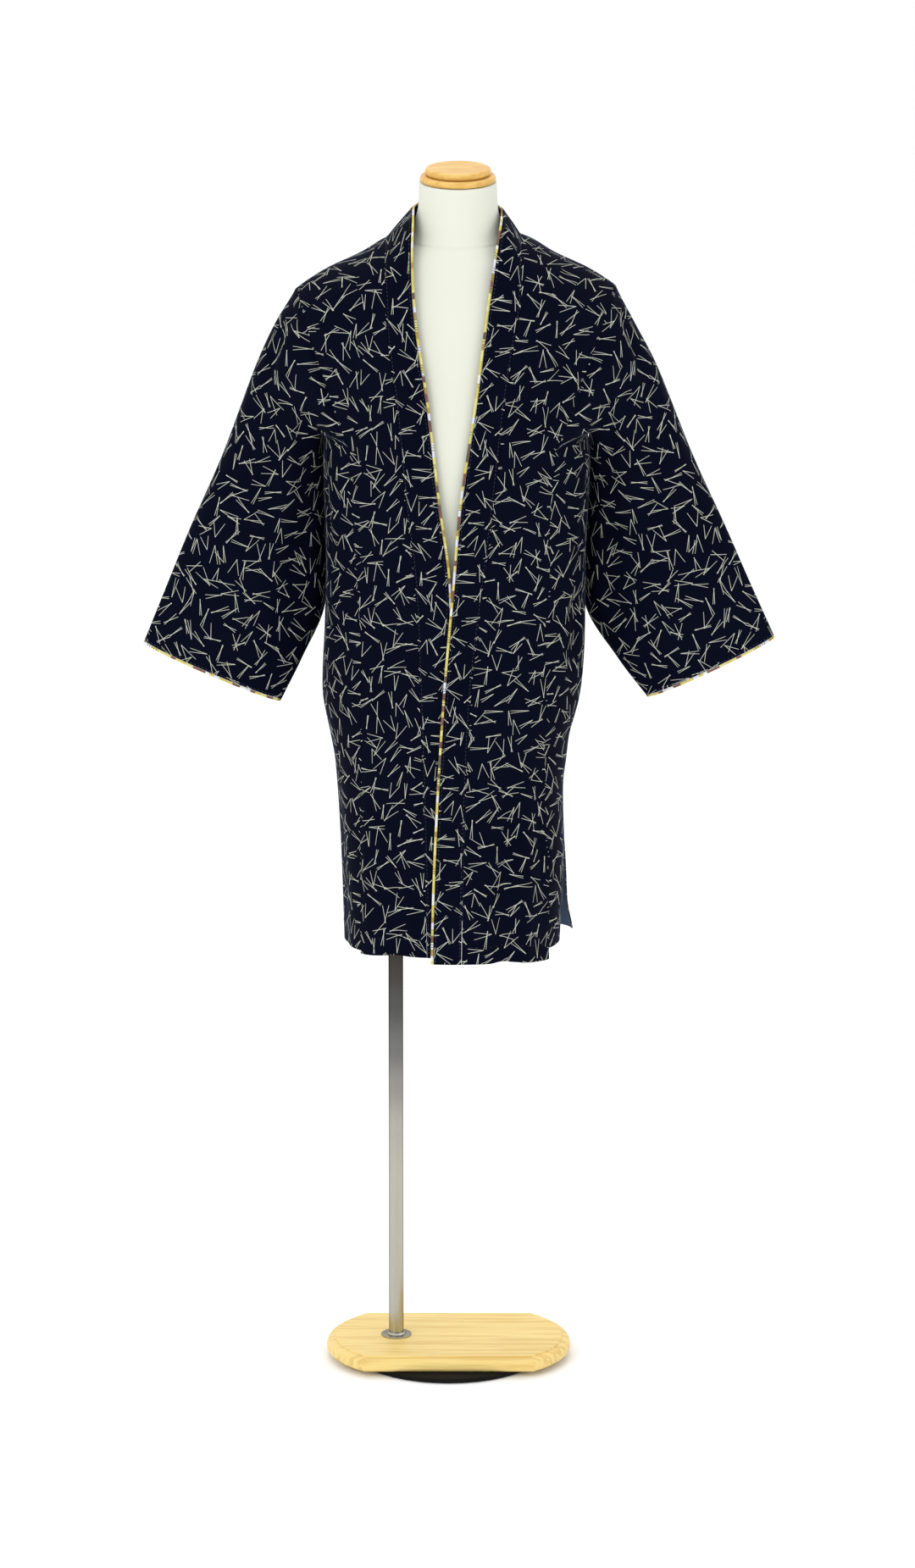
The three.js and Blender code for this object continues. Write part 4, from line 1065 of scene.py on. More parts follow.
def weave_height(nodes, place, pitch):
    """Height of a plain weave, with threads of uneven thickness."""
    u, v, _ = nodes.split(place)
    turn = 2 * math.pi / pitch
    stray = nodes.noise(nodes.vector("MULTIPLY", place, (1.0, 0.12, 1.0)), 900.0, 1.0)
    stray = nodes.math("MULTIPLY", stray, 2.0)
    warp = nodes.math("SINE", nodes.math("MULTIPLY_ADD", u, turn, stray))
    weft = nodes.math("SINE", nodes.math("MULTIPLY", v, turn))
    crossed = nodes.math("MULTIPLY", warp, weft)
    slub = nodes.noise(nodes.vector("MULTIPLY", place, (1.0, 0.06, 1.0)), 1400.0, 2.0, 0.6)
    return nodes.math("MULTIPLY_ADD", slub, 0.8, nodes.math("MULTIPLY", crossed, 0.25))


def printed_cloth(name):
    """Navy plain-weave cotton with the pine-needle print."""
    cloth = bpy.context.scene.happi_cloth
    material, nodes = new_material(
        name,
        Roughness=0.9,
        Specular_IOR_Level=0.05,
        Sheen_Weight=0.12,
        Sheen_Roughness=0.2,
        Sheen_Tint=(0.42, 0.56, 1.0, 1.0),
    )
    place = nodes.cloth_place()
    layers = [needle_layer(nodes, place, offset, cloth) for offset in PRINT_OFFSETS]
    needles = nodes.math("MAXIMUM", nodes.math("MAXIMUM", layers[0], layers[1]), layers[2])
    mottle = nodes.noise(place, scale=900.0, detail=3.0, rough=0.65)
    drift = nodes.noise(place, scale=9.0)
    dark, light = toned(cloth.ground, 0.72), toned(cloth.ground, 1.4)
    ground = nodes.mix(nodes.range(mottle, 0.35, 0.75), dark, light)
    ground = nodes.mix(nodes.range(drift, 0.3, 0.7, 0.0, 0.25), ground, (0.002, 0.004, 0.013))
    ink = nodes.mix(nodes.range(mottle, 0.3, 0.7), toned(cloth.needle, 0.80), cloth.needle)
    weave = weave_height(nodes, place, cloth.weave_pitch)
    nodes.finish(nodes.mix(needles, ground, ink), relief=weave, strength=0.35)
    return material


def reverse_cloth(name):
    """The unprinted side of the same cotton."""
    cloth = bpy.context.scene.happi_cloth
    material, nodes = new_material(
        name, Roughness=0.92, Specular_IOR_Level=0.2, Sheen_Weight=0.08
    )
    place = nodes.cloth_place()
    tone = nodes.noise(place, scale=700.0, detail=3.0, rough=0.6)
    dark, light = toned(cloth.reverse, 0.8), toned(cloth.reverse, 1.25)
    base = nodes.mix(nodes.range(tone, 0.3, 0.7), dark, light)
    nodes.finish(base, relief=weave_height(nodes, place, cloth.weave_pitch), strength=0.4)
    return material


# Colours of the edging's print, in the order of its patches, how many patches there are in a
# metre, and the spacing in metres of the fine bars over some of them.
EDGING_PATCHES = (
    (0.00, (0.62, 0.52, 0.10)),
    (0.20, (0.70, 0.70, 0.82)),
    (0.34, (0.72, 0.66, 0.22)),
    (0.50, (0.17, 0.055, 0.035)),
    (0.60, (0.66, 0.58, 0.16)),
    (0.74, (0.36, 0.25, 0.03)),
    (0.84, (0.78, 0.78, 0.70)),
    (0.90, (0.10, 0.06, 0.03)),
)
PATCHES_IN_A_METRE = 125.0
BAR_SPACING = 0.0032


def edging_cloth(name):
    """Narrow folded strip of a mixed print: yellow, lilac and brown patches, fine dark bars."""
    material, nodes = new_material(name, Roughness=0.75, Sheen_Weight=0.05)
    place = nodes.cloth_place()
    along, _, _ = nodes.split(place)
    slant = nodes.math("MULTIPLY", nodes.noise(place, scale=120.0, detail=1.0), 0.006)
    patch = nodes.add("ShaderNodeTexVoronoi", voronoi_dimensions="1D")
    at = nodes.math("MULTIPLY", nodes.math("ADD", along, slant), PATCHES_IN_A_METRE)
    for socket, value in (("Scale", 1.0), ("Randomness", 0.9), ("W", at)):
        nodes.set(patch.inputs[socket], value)
    picked = nodes.split(patch.outputs["Color"])
    base = nodes.ramp(picked[0], EDGING_PATCHES, "CONSTANT")
    wave = nodes.math("SINE", nodes.math("MULTIPLY", along, 2 * math.pi / BAR_SPACING))
    bars = nodes.math("GREATER_THAN", wave, 0.55)
    barred = nodes.math("GREATER_THAN", picked[1], 0.76)
    bars = nodes.math("MULTIPLY", nodes.math("MULTIPLY", bars, barred), 0.85)
    base = nodes.mix(bars, base, (0.02, 0.018, 0.02))
    tone = nodes.noise(place, scale=900.0)
    base = nodes.mix(nodes.range(tone, 0.3, 0.75, 0.0, 0.25), base, (0.30, 0.24, 0.16))
    nodes.finish(base, relief=weave_height(nodes, place, pitch=0.0005), strength=0.35)
    return material


def sewing_thread(name):
    """Navy sewing thread."""
    material, nodes = new_material(name, Roughness=0.6, Sheen_Weight=0.1)
    drawn_out = nodes.vector("MULTIPLY", nodes.object_place(), (1.0, 1.0, 3.0))
    twist = nodes.noise(drawn_out, scale=2600.0)
    nodes.finish(nodes.mix(twist, (0.006, 0.008, 0.024), (0.016, 0.020, 0.050)))
    return material


def form_cover(name):
    """Ivory knit stretched over the form."""
    cover = bpy.context.scene.happi_stand.cover
    material, nodes = new_material(
        name, Roughness=0.82, Specular_IOR_Level=0.25, Sheen_Weight=0.12
    )
    place = nodes.object_place()
    drawn_out = nodes.vector("MULTIPLY", place, (1.0, 1.0, 0.45))
    loops = nodes.noise(drawn_out, scale=1500.0, rough=0.6)
    tone = nodes.noise(place, scale=14.0, detail=3.0)
    base = nodes.mix(nodes.range(tone, 0.35, 0.7, 0.0, 0.4), cover, toned(cover, 0.955))
    base = nodes.mix(nodes.range(loops, 0.4, 0.75, 0.0, 0.16), base, toned(cover, 0.8))
    nodes.finish(base, relief=loops, strength=0.25, depth=0.0004)
    return material


def wood(name, base_colour, stretch, figure_scale, rings, rough):
    """Varnished softwood. stretch draws the grain out along one direction."""
    material, nodes = new_material(
        name, Specular_IOR_Level=0.25, Coat_Weight=0.06, Coat_Roughness=0.3
    )
    place = nodes.vector("MULTIPLY", nodes.object_place(), stretch)
    figure = nodes.noise(place, scale=figure_scale, detail=3.0, rough=0.55)
    ring = nodes.math("SINE", nodes.math("MULTIPLY", figure, rings))
    fine = nodes.noise(place, scale=figure_scale * 9, detail=3.0, rough=0.7)
    dark = tuple(v * m for v, m in zip(base_colour, (0.80, 0.66, 0.48)))
    light = tuple(min(v * m, 1.0) for v, m in zip(base_colour, (1.06, 1.08, 1.15)))
    base = nodes.mix(nodes.range(ring, -0.2, 1.0, 0.0, 0.55), light, dark)
    base = nodes.mix(nodes.range(fine, 0.45, 0.7, 0.0, 0.3), base, dark)
    uneven = nodes.range(fine, 0.3, 0.7, rough - 0.06, rough + 0.08)
    nodes.finish(base, rough=uneven, relief=fine, strength=0.12, depth=0.0004)
    return material


def board_wood(name):
    board = bpy.context.scene.happi_stand.board
    return wood(name, board, stretch=(0.5, 12.0, 9.0), figure_scale=5.0, rings=24.0, rough=0.42)


def cap_wood(name):
    cap = bpy.context.scene.happi_stand.cap
    return wood(name, cap, stretch=(1.6, 9.0, 12.0), figure_scale=9.0, rings=16.0, rough=0.36)


def pole_steel(name):
    """Plated tube with faint lengthwise wear, and painted shade and painted reflection of the coat,
    dark brown towards the form.
    """
    steel = bpy.context.scene.happi_stand.steel
    material, nodes = new_material(name, Metallic=1.0, Specular_Tint=(0.35, 0.35, 0.33, 1.0))
    place = nodes.object_place()
    drawn_out = nodes.vector("MULTIPLY", place, (60.0, 60.0, 1.2))
    streaks = nodes.noise(drawn_out, scale=8.0, detail=3.0, rough=0.6)
    # Painted shade and painted reflection of the coat: the steel's colour is darkened towards the
    # form.
    painted_shade = nodes.range(nodes.split(place)[2], *POLE_PAINTED_SHADE["heights"])
    left = nodes.ramp(painted_shade, POLE_PAINTED_SHADE["left"], "EASE")
    plated = nodes.mix(streaks, toned(steel, 0.86), steel)
    worn = nodes.range(streaks, 0.3, 0.7, 0.2, 0.34)
    nodes.finish(nodes.vector("MULTIPLY", left, plated), rough=worn)
    return material


def black_plate(name):
    """Powder-coated base disc."""
    disc = bpy.context.scene.happi_stand.disc
    material, nodes = new_material(name, Roughness=0.65, Specular_IOR_Level=0.1)
    place = nodes.object_place()
    grit = nodes.noise(place, scale=1800.0)
    worn = nodes.noise(place, scale=30.0, detail=3.0)
    base = nodes.mix(nodes.range(worn, 0.45, 0.75, 0.0, 0.5), disc, toned(disc, 1.9))
    nodes.finish(base, relief=grit, strength=0.2)
    return material


def floor_paper(name):
    """Matt white paper, a little uneven."""
    material, nodes = new_material(name, Roughness=0.9)
    tone = nodes.noise(nodes.object_place(), scale=1.5)
    nodes.finish(nodes.mix(tone, (0.95, 0.95, 0.95), (0.97, 0.97, 0.97)))
    return material


# ---- The coat's pieces ----


def body_rows(side, face, rows):
    """Points and outward directions of one face of a body half, in rows from its inner edge out."""
    u = np.linspace(0, 1, BODY_COLUMNS + 1)
    name = side_name(side)

    def sweeps(height):
        reach = read_table(BODY_SECTIONS, "height", height)[name]
        seam = inner_x(side, FRONT, height) if face == FRONT else side * HALF_GAP
        end = side_seam(side, face, height) - np.degrees(HALF_GAP / reach)
        return mix(sweep_of(seam, reach), end, u)

    level = read_table(BODY_SECTIONS, "height", UNDERARM)[name]
    even = level * np.sin(np.radians(sweeps(UNDERARM))) ** SECTION_SQUARENESS
    even = (even - even[0]) / (even[-1] - even[0])
    grid, outs = [], []
    for row in rows:
        upper = row - LOWER_ROWS
        if upper > 0:
            inner = inner_upper_place(side, face, upper)[0]
            inner = side * max(abs(float(inner)), HALF_GAP)
            spread = mix(even, u, smooth(upper, 0, EVENING_ROWS))
            x = mix(inner, armhole_x(side, face, upper) - side * HALF_GAP, spread)
            points, out = body_place(side, face, x, upper_height(x, upper))
        else:
            height = lower_height(hem_height(side, face, u), row)
            sweep = sweeps(height)
            lift = 0.0
            if face == BACK:
                lift = back_spread(side, height) * smooth(u, BACK_SPREADS_FROM, 1)
            turn = sweep if face == FRONT else 180 - sweep
            points, out = body_place_by_turn(side, turn, height, lift)
        grid.append(points)
        outs.append(out)
    return np.array(grid), np.array(outs)


def arc(points, axis, drop=None):
    """Running length along a grid's axis, without the part along the coordinate numbered drop."""
    steps = np.diff(points, axis=axis)
    keep = [i for i in range(3) if i != drop]
    lengths = np.linalg.norm(steps[..., keep], axis=-1)
    start = np.zeros_like(np.take(lengths, [0], axis=axis))
    return np.concatenate([start, np.cumsum(lengths, axis=axis)], axis=axis)


def body_flat(side, points):
    """Cloth coordinates of a body half in metres: out from the middle, and up and over."""
    across = side * (np.abs(points[:, :1, 0]) + arc(points, 1, 2))
    along = points[0, 0, 2] + arc(points, 0, 0)
    return np.stack([across + CLOTH_PLACES["body"], along], axis=-1) * MM


def panel_flat(side, points):
    """Cloth coordinates of a side panel in metres: out from its front seam, and up from the hem."""
    across = side * arc(points, 1, 2) + CLOTH_PLACES["body"] + side * CLOTH_PLACES["panel"]
    along = points[0, 0, 2] + arc(points, 0, 0)
    return np.stack([across, along], axis=-1) * MM


def panel_grid(side):
    """Points and outward directions of a side panel, in rows up from the hem."""
    u = np.linspace(0, 1, PANEL_COLUMNS + 1)
    hem = HEM[side_name(side)]
    grid, outs = [], []
    for row in np.linspace(0, LOWER_ROWS, LOWER_ROWS * ROW_STEPS + 1):
        height = lower_height(mix(hem["panelFront"], hem["panelBack"], u), row)
        height = height - (HALF_GAP if row == LOWER_ROWS else 0)
        first = side_seam(side, FRONT, height)
        last = 180 - side_seam(side, BACK, height)
        turn = mix(first, last, u)
        inset = math.degrees(HALF_GAP / BODY_SECTIONS["right"][0])
        turn[0] += inset
        turn[-1] -= inset
        lift = vent_share(height) * smooth(u, PANEL_SPREADS_FROM, 1)
        lift = lift * VENT_SPREAD[side_name(side)]["panel"]
        points, out = body_place_by_turn(side, turn, height, lift)
        grid.append(points)
        outs.append(out)
    return np.array(grid), np.array(outs)


def band_stations():
    """The band's seam, its outward directions and its free edge, from hem round the neck to hem."""
    seams, outs, edges = [], [], []

    def station(side, face, row):
        name = side_name(side)
        upper = row - LOWER_ROWS
        if upper > 0:
            x, height = (float(v) for v in inner_upper_place(side, face, upper))
        else:
            height = lower_height(hem_height(side, face), row)
            x = float(inner_x(side, face, height))
        seam, out = body_place(side, face, x, height)
        if face == BACK:
            to_nape = (UPPER_ROWS - upper) / NECK_ROWS
            rise = mix(BACK_BAND["rise"][name], BACK_BAND["rise"]["nape"], to_nape)
            edge = seam * (1 - BACK_BAND["inward"][name], 1 - BACK_BAND["ahead"], 1) + (0, 0, rise)
        else:
            edge_x = read_table(BAND_ROWS, "height", height)[name + "Edge"]
            drop = shoulder_height(x) - height
            edge = body_place(side, face, edge_x, height, drop)[0]
            stands = smooth(height, BAND_STANDS_FROM, shoulder_height(x)) ** 2
            edge[2] += BACK_BAND["rise"][name] * stands
        inward = unit(seam - edge)
        seams.append(seam)
        outs.append(out)
        edges.append(edge + inward * (PIPING["width"] + SEAM_GAP))

    front = np.linspace(0, BODY_ROWS, BODY_ROWS * ROW_STEPS + 1)
    back = np.linspace(BODY_ROWS, BODY_ROWS - NECK_ROWS, NECK_ROWS * ROW_STEPS * 2 + 1)[1:]
    for row in front:
        station(RIGHT, FRONT, row)
    for row in back:
        station(RIGHT, BACK, row)
    for row in back[-2::-1]:
        station(LEFT, BACK, row)
    for row in front[::-1]:
        station(LEFT, FRONT, row)
    return np.array(seams), np.array(outs), np.array(edges)


def relaxed(line, times):
    """A line of points smoothed along its length, its ends kept."""
    line = line.copy()
    for _ in range(times):
        line[1:-1] = (line[:-2] + 2 * line[1:-1] + line[2:]) / 4
    return line


def band_grid():
    """Points and outward directions across the band, from its seam to beside its edging."""
    seams, seam_outs, edges = band_stations()
    edges = relaxed(edges, BAND["smoothings"])
    starts = seams + unit(edges - seams) * SEAM_GAP
    u = np.linspace(0, 1, BAND_COLUMNS + 1)[None, :, None]
    points = starts[:, None] + (edges - starts)[:, None] * u
    outs = grid_out(points)
    if np.sum(outs[0] * seam_outs[0]) < 0:
        outs = -outs
    settled = smooth(u, 0, BAND["settledBy"])
    outs = unit(seam_outs[:, None] * (1 - settled) + outs * settled)
    return points + outs * BAND["crown"] * np.sin(np.pi * u), outs


def band_flat(points):
    """Cloth coordinates of the band in metres: out from its seam, and along it from hem to hem."""
    across = arc(points, 1)
    along = np.broadcast_to(running_length(points[:, 0])[:, None], across.shape)
    return np.stack([across + CLOTH_PLACES["band"], along], axis=-1) * MM


def armhole_loop(side):
    """The armhole seam: shoulder line, down the front, under the arm, up the back."""
    points, outs = [], []

    def edge(face, upper):
        x = armhole_x(side, face, upper)
        point, out = body_place(side, face, x, upper_height(x, upper))
        points.append(point)
        outs.append(out)

    fine = np.linspace(0, UPPER_ROWS, UPPER_ROWS * ARMHOLE_STEPS + 1)
    for upper in fine[:0:-1]:
        edge(FRONT, upper)
    first = side_seam(side, FRONT, UNDERARM)
    last = 180 - side_seam(side, BACK, UNDERARM)
    for turn in np.linspace(first, last, UNDERARM_STEPS + 1):
        point, out = body_place_by_turn(side, turn, UNDERARM)
        points.append(point)
        outs.append(out)
    bottom = len(points) - 1 - UNDERARM_STEPS // 2
    for upper in fine[1:-1]:
        edge(BACK, upper)
    return np.array(points), np.array(outs), bottom


def sleeve_fold(side, angle, along):
    """How far folds and creases move the sleeve's surface outwards at this place."""
    moved = np.zeros_like(angle)
    for start, end, begins, ends, half_width, depth in SLEEVE_FOLDS:
        t = np.clip((along - begins) / (ends - begins), 0, 1)
        away = np.mod(angle - mix(start, end, t) + 180, 360) - 180
        moved += depth * np.sin(np.pi * t) * np.exp(-((away / half_width) ** 2))
    depth = bpy.context.scene.happi_cloth.crease_depth
    creases = SLEEVE_CREASES[side_name(side)]
    return moved + depth * creased(angle, along, creases, SLEEVE_GIRTH / 360, SLEEVE_LENGTH)


def sleeve_grid(side):
    """Rings of the sleeve from the armhole seam to the cuff, each from the underside round."""
    loop, loop_outs, bottom = armhole_loop(side)
    lengths = running_length(np.concatenate([loop, loop[:1]]))
    whole, half = lengths[-1], lengths[bottom]
    lengths = lengths[:-1]
    rising = 180 + 180 * (lengths - half) / (whole - half)
    angles = np.where(lengths <= half, 180 * lengths / half, rising)
    onward = np.roll(loop, -1, axis=0) - np.roll(loop, 1, axis=0)
    leave = unit(np.cross(onward, loop_outs)) * -side
    second = loop + leave * SLEEVE_START["step"]
    rings = [loop + leave * HALF_GAP, mix(loop, second, 0.5), second]
    turns = np.radians(angles)
    shares = np.linspace(0, 1, SLEEVE_RINGS + 1)[1:] ** RING_SPACING
    for along in shares:
        row = read_table(SLEEVE_ROWS[side_name(side)], "along", along)
        top = np.array([side * row["topReach"], 0, row["topHeight"]])
        under = np.array([side * row["underReach"], 0, row["underHeight"]])
        middle, upward = (top + under) / 2, (top - under) / 2
        out = unit(upward) * np.cos(turns)[:, None]
        out = out + np.array([0, -1, 0]) * np.sin(turns)[:, None]
        ring = middle + upward * np.cos(turns)[:, None]
        ring[:, 1] += row["back"] * (1 - np.cos(turns)) / 2 - row["depth"] * np.sin(turns)
        ring = ring + out * sleeve_fold(side, angles, along)[:, None]
        settled = smooth(along, SLEEVE_START["settledFrom"], SLEEVE_START["settledBy"])
        settled = settled * smooth(along, SLEEVE_START["eased"] * FIRST_RING, FIRST_RING)
        rings.append(mix(second, ring, settled))
    points = np.roll(np.array(rings), -bottom, axis=1)
    outs = grid_out(points, True)
    towards = points - points.mean(axis=1, keepdims=True)
    if np.sum(outs * towards) < 0:
        outs = -outs
    outs[0] = np.roll(loop_outs, -bottom, axis=0)
    return points, outs


def sleeve_flat(side, points):
    """Cloth coordinates of a sleeve in metres: round it from the fold on top, and down."""
    top_edge = SLEEVE_ROWS[side_name(side)]
    start = np.array([side * top_edge["topReach"][0], 0, top_edge["topHeight"][0]])
    end = np.array([side * top_edge["topReach"][-1], 0, top_edge["topHeight"][-1]])
    down = unit(end - start)
    closed = np.concatenate([points, points[:, :1]], axis=1)
    steps = np.diff(closed, axis=1)
    lengths = np.sqrt(np.maximum(np.sum(steps**2, axis=-1) - (steps @ down) ** 2, 1e-9))
    around = np.concatenate([np.zeros((len(points), 1)), np.cumsum(lengths, axis=1)], axis=1)
    around = around - around[:, -1:] / 2 + side * CLOTH_PLACES["sleeve"]
    along = CLOTH_PLACES["sleeveTop"] - closed @ down
    return np.stack([around, along], axis=-1) * MM


def form_heights():
    """Heights of the form's rings, closer together round the seam at the neck."""
    fine = []
    heights = FORM_SECTIONS["height"]
    for low, high in zip(heights[:-1], heights[1:]):
        near_seam = high > FORM_DRAWN["fineFrom"] and low < FORM_DRAWN["fineTo"]
        step = FORM_DRAWN["fineStep" if near_seam else "step"]
        fine.extend(np.linspace(low, high, max(2, int((high - low) / step) + 1))[:-1])
    return np.array([*fine, heights[-1]])


# ---- Operators ----


class MakeBody(bpy.types.Operator):
    """Makes the two body lengths, each front and back in one over the shoulder"""

    bl_idname = "happi.make_body"
    bl_label = "Body lengths"

    def execute(self, context):
        rows = np.linspace(0, BODY_ROWS, BODY_ROWS * ROW_STEPS + 1)
        for side in SIDES:
            front, front_out = body_rows(side, FRONT, rows)
            back, back_out = body_rows(side, BACK, rows[-2::-1])
            points = np.concatenate([front, back])
            outs = np.concatenate([front_out, back_out])
            name = "body_" + side_name(side)
            thickness = context.scene.happi_cloth.thickness
            made = make_cloth(name, points, outs, thickness, body_flat(side, points))
            upward = {"front": (front, front_out), "back": (back[::-1], back_out[::-1])}
            for face, grids in upward.items():
                line = line_above(*grids, HEM_STITCHES["above"])
                make_stitches("happi_%s_%s_hem_stitches" % (name, face), *line, HEM_STITCHES)
        return {"FINISHED"}


class MakeSidePanels(bpy.types.Operator):
    """Makes the straight side panels under the arms, open at the vents"""

    bl_idname = "happi.make_side_panels"
    bl_label = "Side panels"

    def execute(self, context):
        for side in SIDES:
            points, outs = panel_grid(side)
            label = side_name(side)
            name = "side_panel_" + label
            thickness = context.scene.happi_cloth.thickness
            made = make_cloth(name, points, outs, thickness, panel_flat(side, points))
            line = line_above(points, outs, HEM_STITCHES["above"])
            make_stitches("happi_" + name + "_hem_stitches", *line, HEM_STITCHES)
        return {"FINISHED"}


class MakeSleeves(bpy.types.Operator):
    """Makes the two kimono sleeves and the edging that binds their cuffs"""

    bl_idname = "happi.make_sleeves"
    bl_label = "Sleeves and cuff edging"

    def execute(self, context):
        for side in SIDES:
            points, outs = sleeve_grid(side)
            cuff, label = points[-1], side_name(side)
            node = "cuff_edging_" + label
            edging = make_edging(
                "happi_" + node, node, cuff, points[-4], outs[-1], CUFF_EDGING, closed=True
            )
            thickness = context.scene.happi_cloth.thickness
            flat = sleeve_flat(side, points)
            made = make_cloth("sleeve_" + label, points, outs, thickness, flat, around=True)
            inset = unit(points[-3] - cuff) * EDGE_STITCHES["inset"]
            make_stitches("happi_cuff_stitches_" + label, cuff + inset, outs[-1], EDGE_STITCHES)
        return {"FINISHED"}


class MakeCollar(bpy.types.Operator):
    """Makes the doubled collar band, hem to hem round the neck, and the edging on its free edge"""

    bl_idname = "happi.make_collar"
    bl_label = "Collar band and edging"

    def execute(self, context):
        points, outs = band_grid()
        free, free_out = points[:, -1], outs[:, -1]
        edging = make_edging(
            "happi_collar_edging", "collar_piping", free, points[:, -3], free_out, PIPING
        )
        thickness = context.scene.happi_cloth.band_thickness
        flat = band_flat(points)
        made = make_cloth(
            "collar_band", points, outs, thickness, flat, reverse=False, proud=BAND_PROUD
        )
        raised = outs * BAND_PROUD
        for name, edge, inner in (("seam", 0, 2), ("edge", -1, -3)):
            inset = unit(points[:, inner] - points[:, edge]) * EDGE_STITCHES["inset"]
            line = points[:, edge] + inset + raised[:, edge]
            make_stitches("happi_collar_" + name + "_stitches", line, outs[:, edge], EDGE_STITCHES)
        return {"FINISHED"}


class MakeDressForm(bpy.types.Operator):
    """Makes the limbless form under its knit cover"""

    bl_idname = "happi.make_dress_form"
    bl_label = "Dress form"

    def execute(self, context):
        heights = form_heights()
        section = read_table(FORM_SECTIONS, "height", heights)
        turns = np.linspace(0, 2 * np.pi, FORM_DRAWN["sides"], endpoint=False)
        reach = np.where(np.cos(turns) < 0, section["right"][:, None], section["left"][:, None])
        depth = np.where(np.sin(turns) < 0, section["front"][:, None], section["back"][:, None])
        x, y = reach * np.cos(turns), depth * np.sin(turns)
        z = np.repeat(heights[:, None], len(turns), axis=1)
        points = np.stack([x, y, z], axis=-1)
        seam = NECK_SEAM["height"] - NECK_SEAM["tilt"] * np.sin(turns)
        groove = NECK_SEAM["depth"] * np.exp(-(((z - seam) / NECK_SEAM["width"]) ** 2))
        points[..., :2] *= (1 - groove / np.maximum(np.hypot(x, y), 1))[..., None]
        vertices, sides = points.reshape(-1, 3), len(turns)
        tube = tube_corners(len(heights), sides)
        faces = [[r * sides + c % sides for r, c in corners] for corners in tube]
        uvs = [(vertices[v][0] * MM, vertices[v][2] * MM) for face in faces for v in face]
        faces, uvs = facing(vertices, faces, uvs)
        materials = [kept("Ivory knit cover", form_cover)]
        make_object("form_cover", vertices, faces, uvs, materials, ["form_torso"])
        return {"FINISHED"}


class FinishStand(bpy.types.Operator):
    """Gives the cap, pole, board and disc their own finishes"""

    bl_idname = "happi.finish_stand"
    bl_label = "Stand finishes"

    def execute(self, context):
        finishes = (
            ("Turned cap wood", cap_wood, ("cap_rim", "cap_disc")),
            ("Plated steel", pole_steel, ("pole", "pole_flange", "pole_socket")),
            ("Pine board", board_wood, ("base_board",)),
            ("Black powder coat", black_plate, ("base_disc",)),
        )
        for finish, make, names in finishes:
            for name in names:
                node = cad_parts[name]
                node.data.materials.clear()
                node.data.materials.append(kept(finish, make))
        return {"FINISHED"}


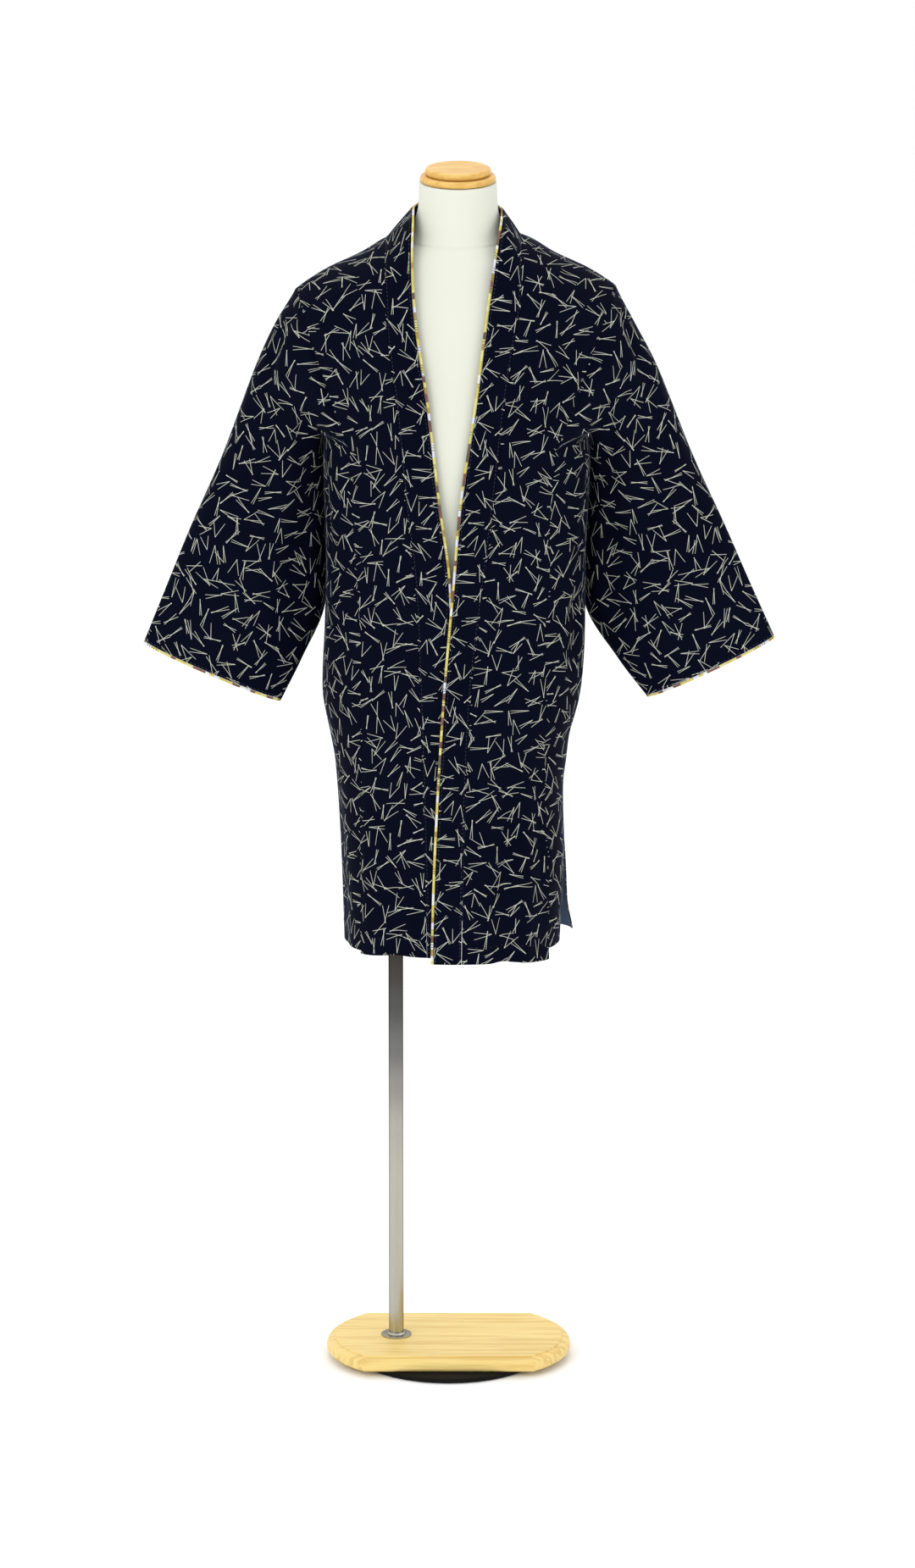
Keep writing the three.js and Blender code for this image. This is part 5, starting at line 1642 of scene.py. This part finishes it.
class MakeStage(bpy.types.Operator):
    """Makes the plain pale floor, the soft studio lights and the camera"""

    bl_idname = "happi.make_stage"
    bl_label = "Stage, lights and camera"

    def execute(self, context):
        self.make_floor(context)
        self.make_world(context)
        for name, (place, aim, across) in LIGHTS.items():
            self.make_light(context, name, place, aim, across)
        self.make_camera(context)
        context.scene.view_settings.view_transform = "Standard"
        return {"FINISHED"}

    def make_floor(self, context):
        cells = FLOOR["cells"]
        line = np.linspace(-FLOOR["reach"], FLOOR["reach"], cells + 1)
        vertices = [(x, y, FLOOR["height"]) for y in line for x in line]
        corners = ((0, 0), (0, 1), (1, 1), (1, 0))
        faces = [
            [(r + p) * (cells + 1) + c + q for p, q in corners]
            for r in range(cells)
            for c in range(cells)
        ]
        mesh = bpy.data.meshes.new("floor")
        mesh.from_pydata(vertices, [], faces)
        mesh.materials.append(kept("White floor", floor_paper))
        floor = bpy.data.objects.new("floor", mesh)
        context.scene.collection.objects.link(floor)

    def make_world(self, context):
        world = bpy.data.worlds.new("White studio")
        world.use_nodes = True
        background = world.node_tree.nodes["Background"]
        background.inputs["Color"].default_value = (1.0, 1.0, 1.0, 1.0)
        background.inputs["Strength"].default_value = context.scene.happi_stage.world_light
        context.scene.world = world

    def make_light(self, context, name, place, aim, across):
        light = bpy.data.lights.new(name + " light", "AREA")
        light.shape = "DISK"
        light.size = across
        light.energy = getattr(context.scene.happi_stage, name + "_power")
        lamp = bpy.data.objects.new(name + " light", light)
        lamp.location = place
        x, y, z = np.array(aim) - np.array(place)
        down, about = math.atan2(math.hypot(x, y), -z), math.atan2(y, x) - math.pi / 2
        lamp.rotation_euler = (down, 0.0, about)
        context.scene.collection.objects.link(lamp)

    def make_camera(self, context):
        stage = context.scene.happi_stage
        lens = bpy.data.cameras.new("camera")
        lens.lens = stage.focal_length
        lens.sensor_width = CAMERA["sensor"]
        lens.clip_end = CAMERA["clip"]
        camera = bpy.data.objects.new("camera", lens)
        camera.location = (CAMERA["x"], -stage.camera_distance, stage.camera_height)
        camera.rotation_euler = (math.pi / 2 - stage.camera_pitch, 0.0, 0.0)
        context.scene.collection.objects.link(camera)
        context.scene.camera = camera


STEPS = (MakeBody, MakeSidePanels, MakeSleeves, MakeCollar, MakeDressForm, FinishStand, MakeStage)


class HappiPanel(bpy.types.Panel):
    """Lists the pieces in the order they are made"""

    bl_idname = "VIEW3D_PT_happi"
    bl_label = "Happi coat"
    bl_space_type = "VIEW_3D"
    bl_region_type = "UI"
    bl_category = "Happi"

    def draw(self, context):
        for group in SETTINGS:
            settings = getattr(context.scene, group)
            box = self.layout.box()
            for name in settings.bl_rna.properties.keys():
                if name not in ("rna_type", "name"):
                    box.prop(settings, name)
        for step in STEPS:
            self.layout.operator(step.bl_idname)


SETTINGS = {
    "happi_cloth": HappiClothSettings,
    "happi_stand": HappiStandSettings,
    "happi_stage": HappiStageSettings,
}


def register():
    for group in (*SETTINGS.values(), *STEPS, HappiPanel):
        bpy.utils.register_class(group)
    for name, group in SETTINGS.items():
        setattr(bpy.types.Scene, name, bpy.props.PointerProperty(type=group))


def unregister():
    for name in SETTINGS:
        delattr(bpy.types.Scene, name)
    for group in (HappiPanel, *reversed(STEPS), *SETTINGS.values()):
        bpy.utils.unregister_class(group)


def main():
    register()
    for step in STEPS:
        module, _, name = step.bl_idname.partition(".")
        getattr(getattr(bpy.ops, module), name)()


if __name__ == "__main__":
    main()
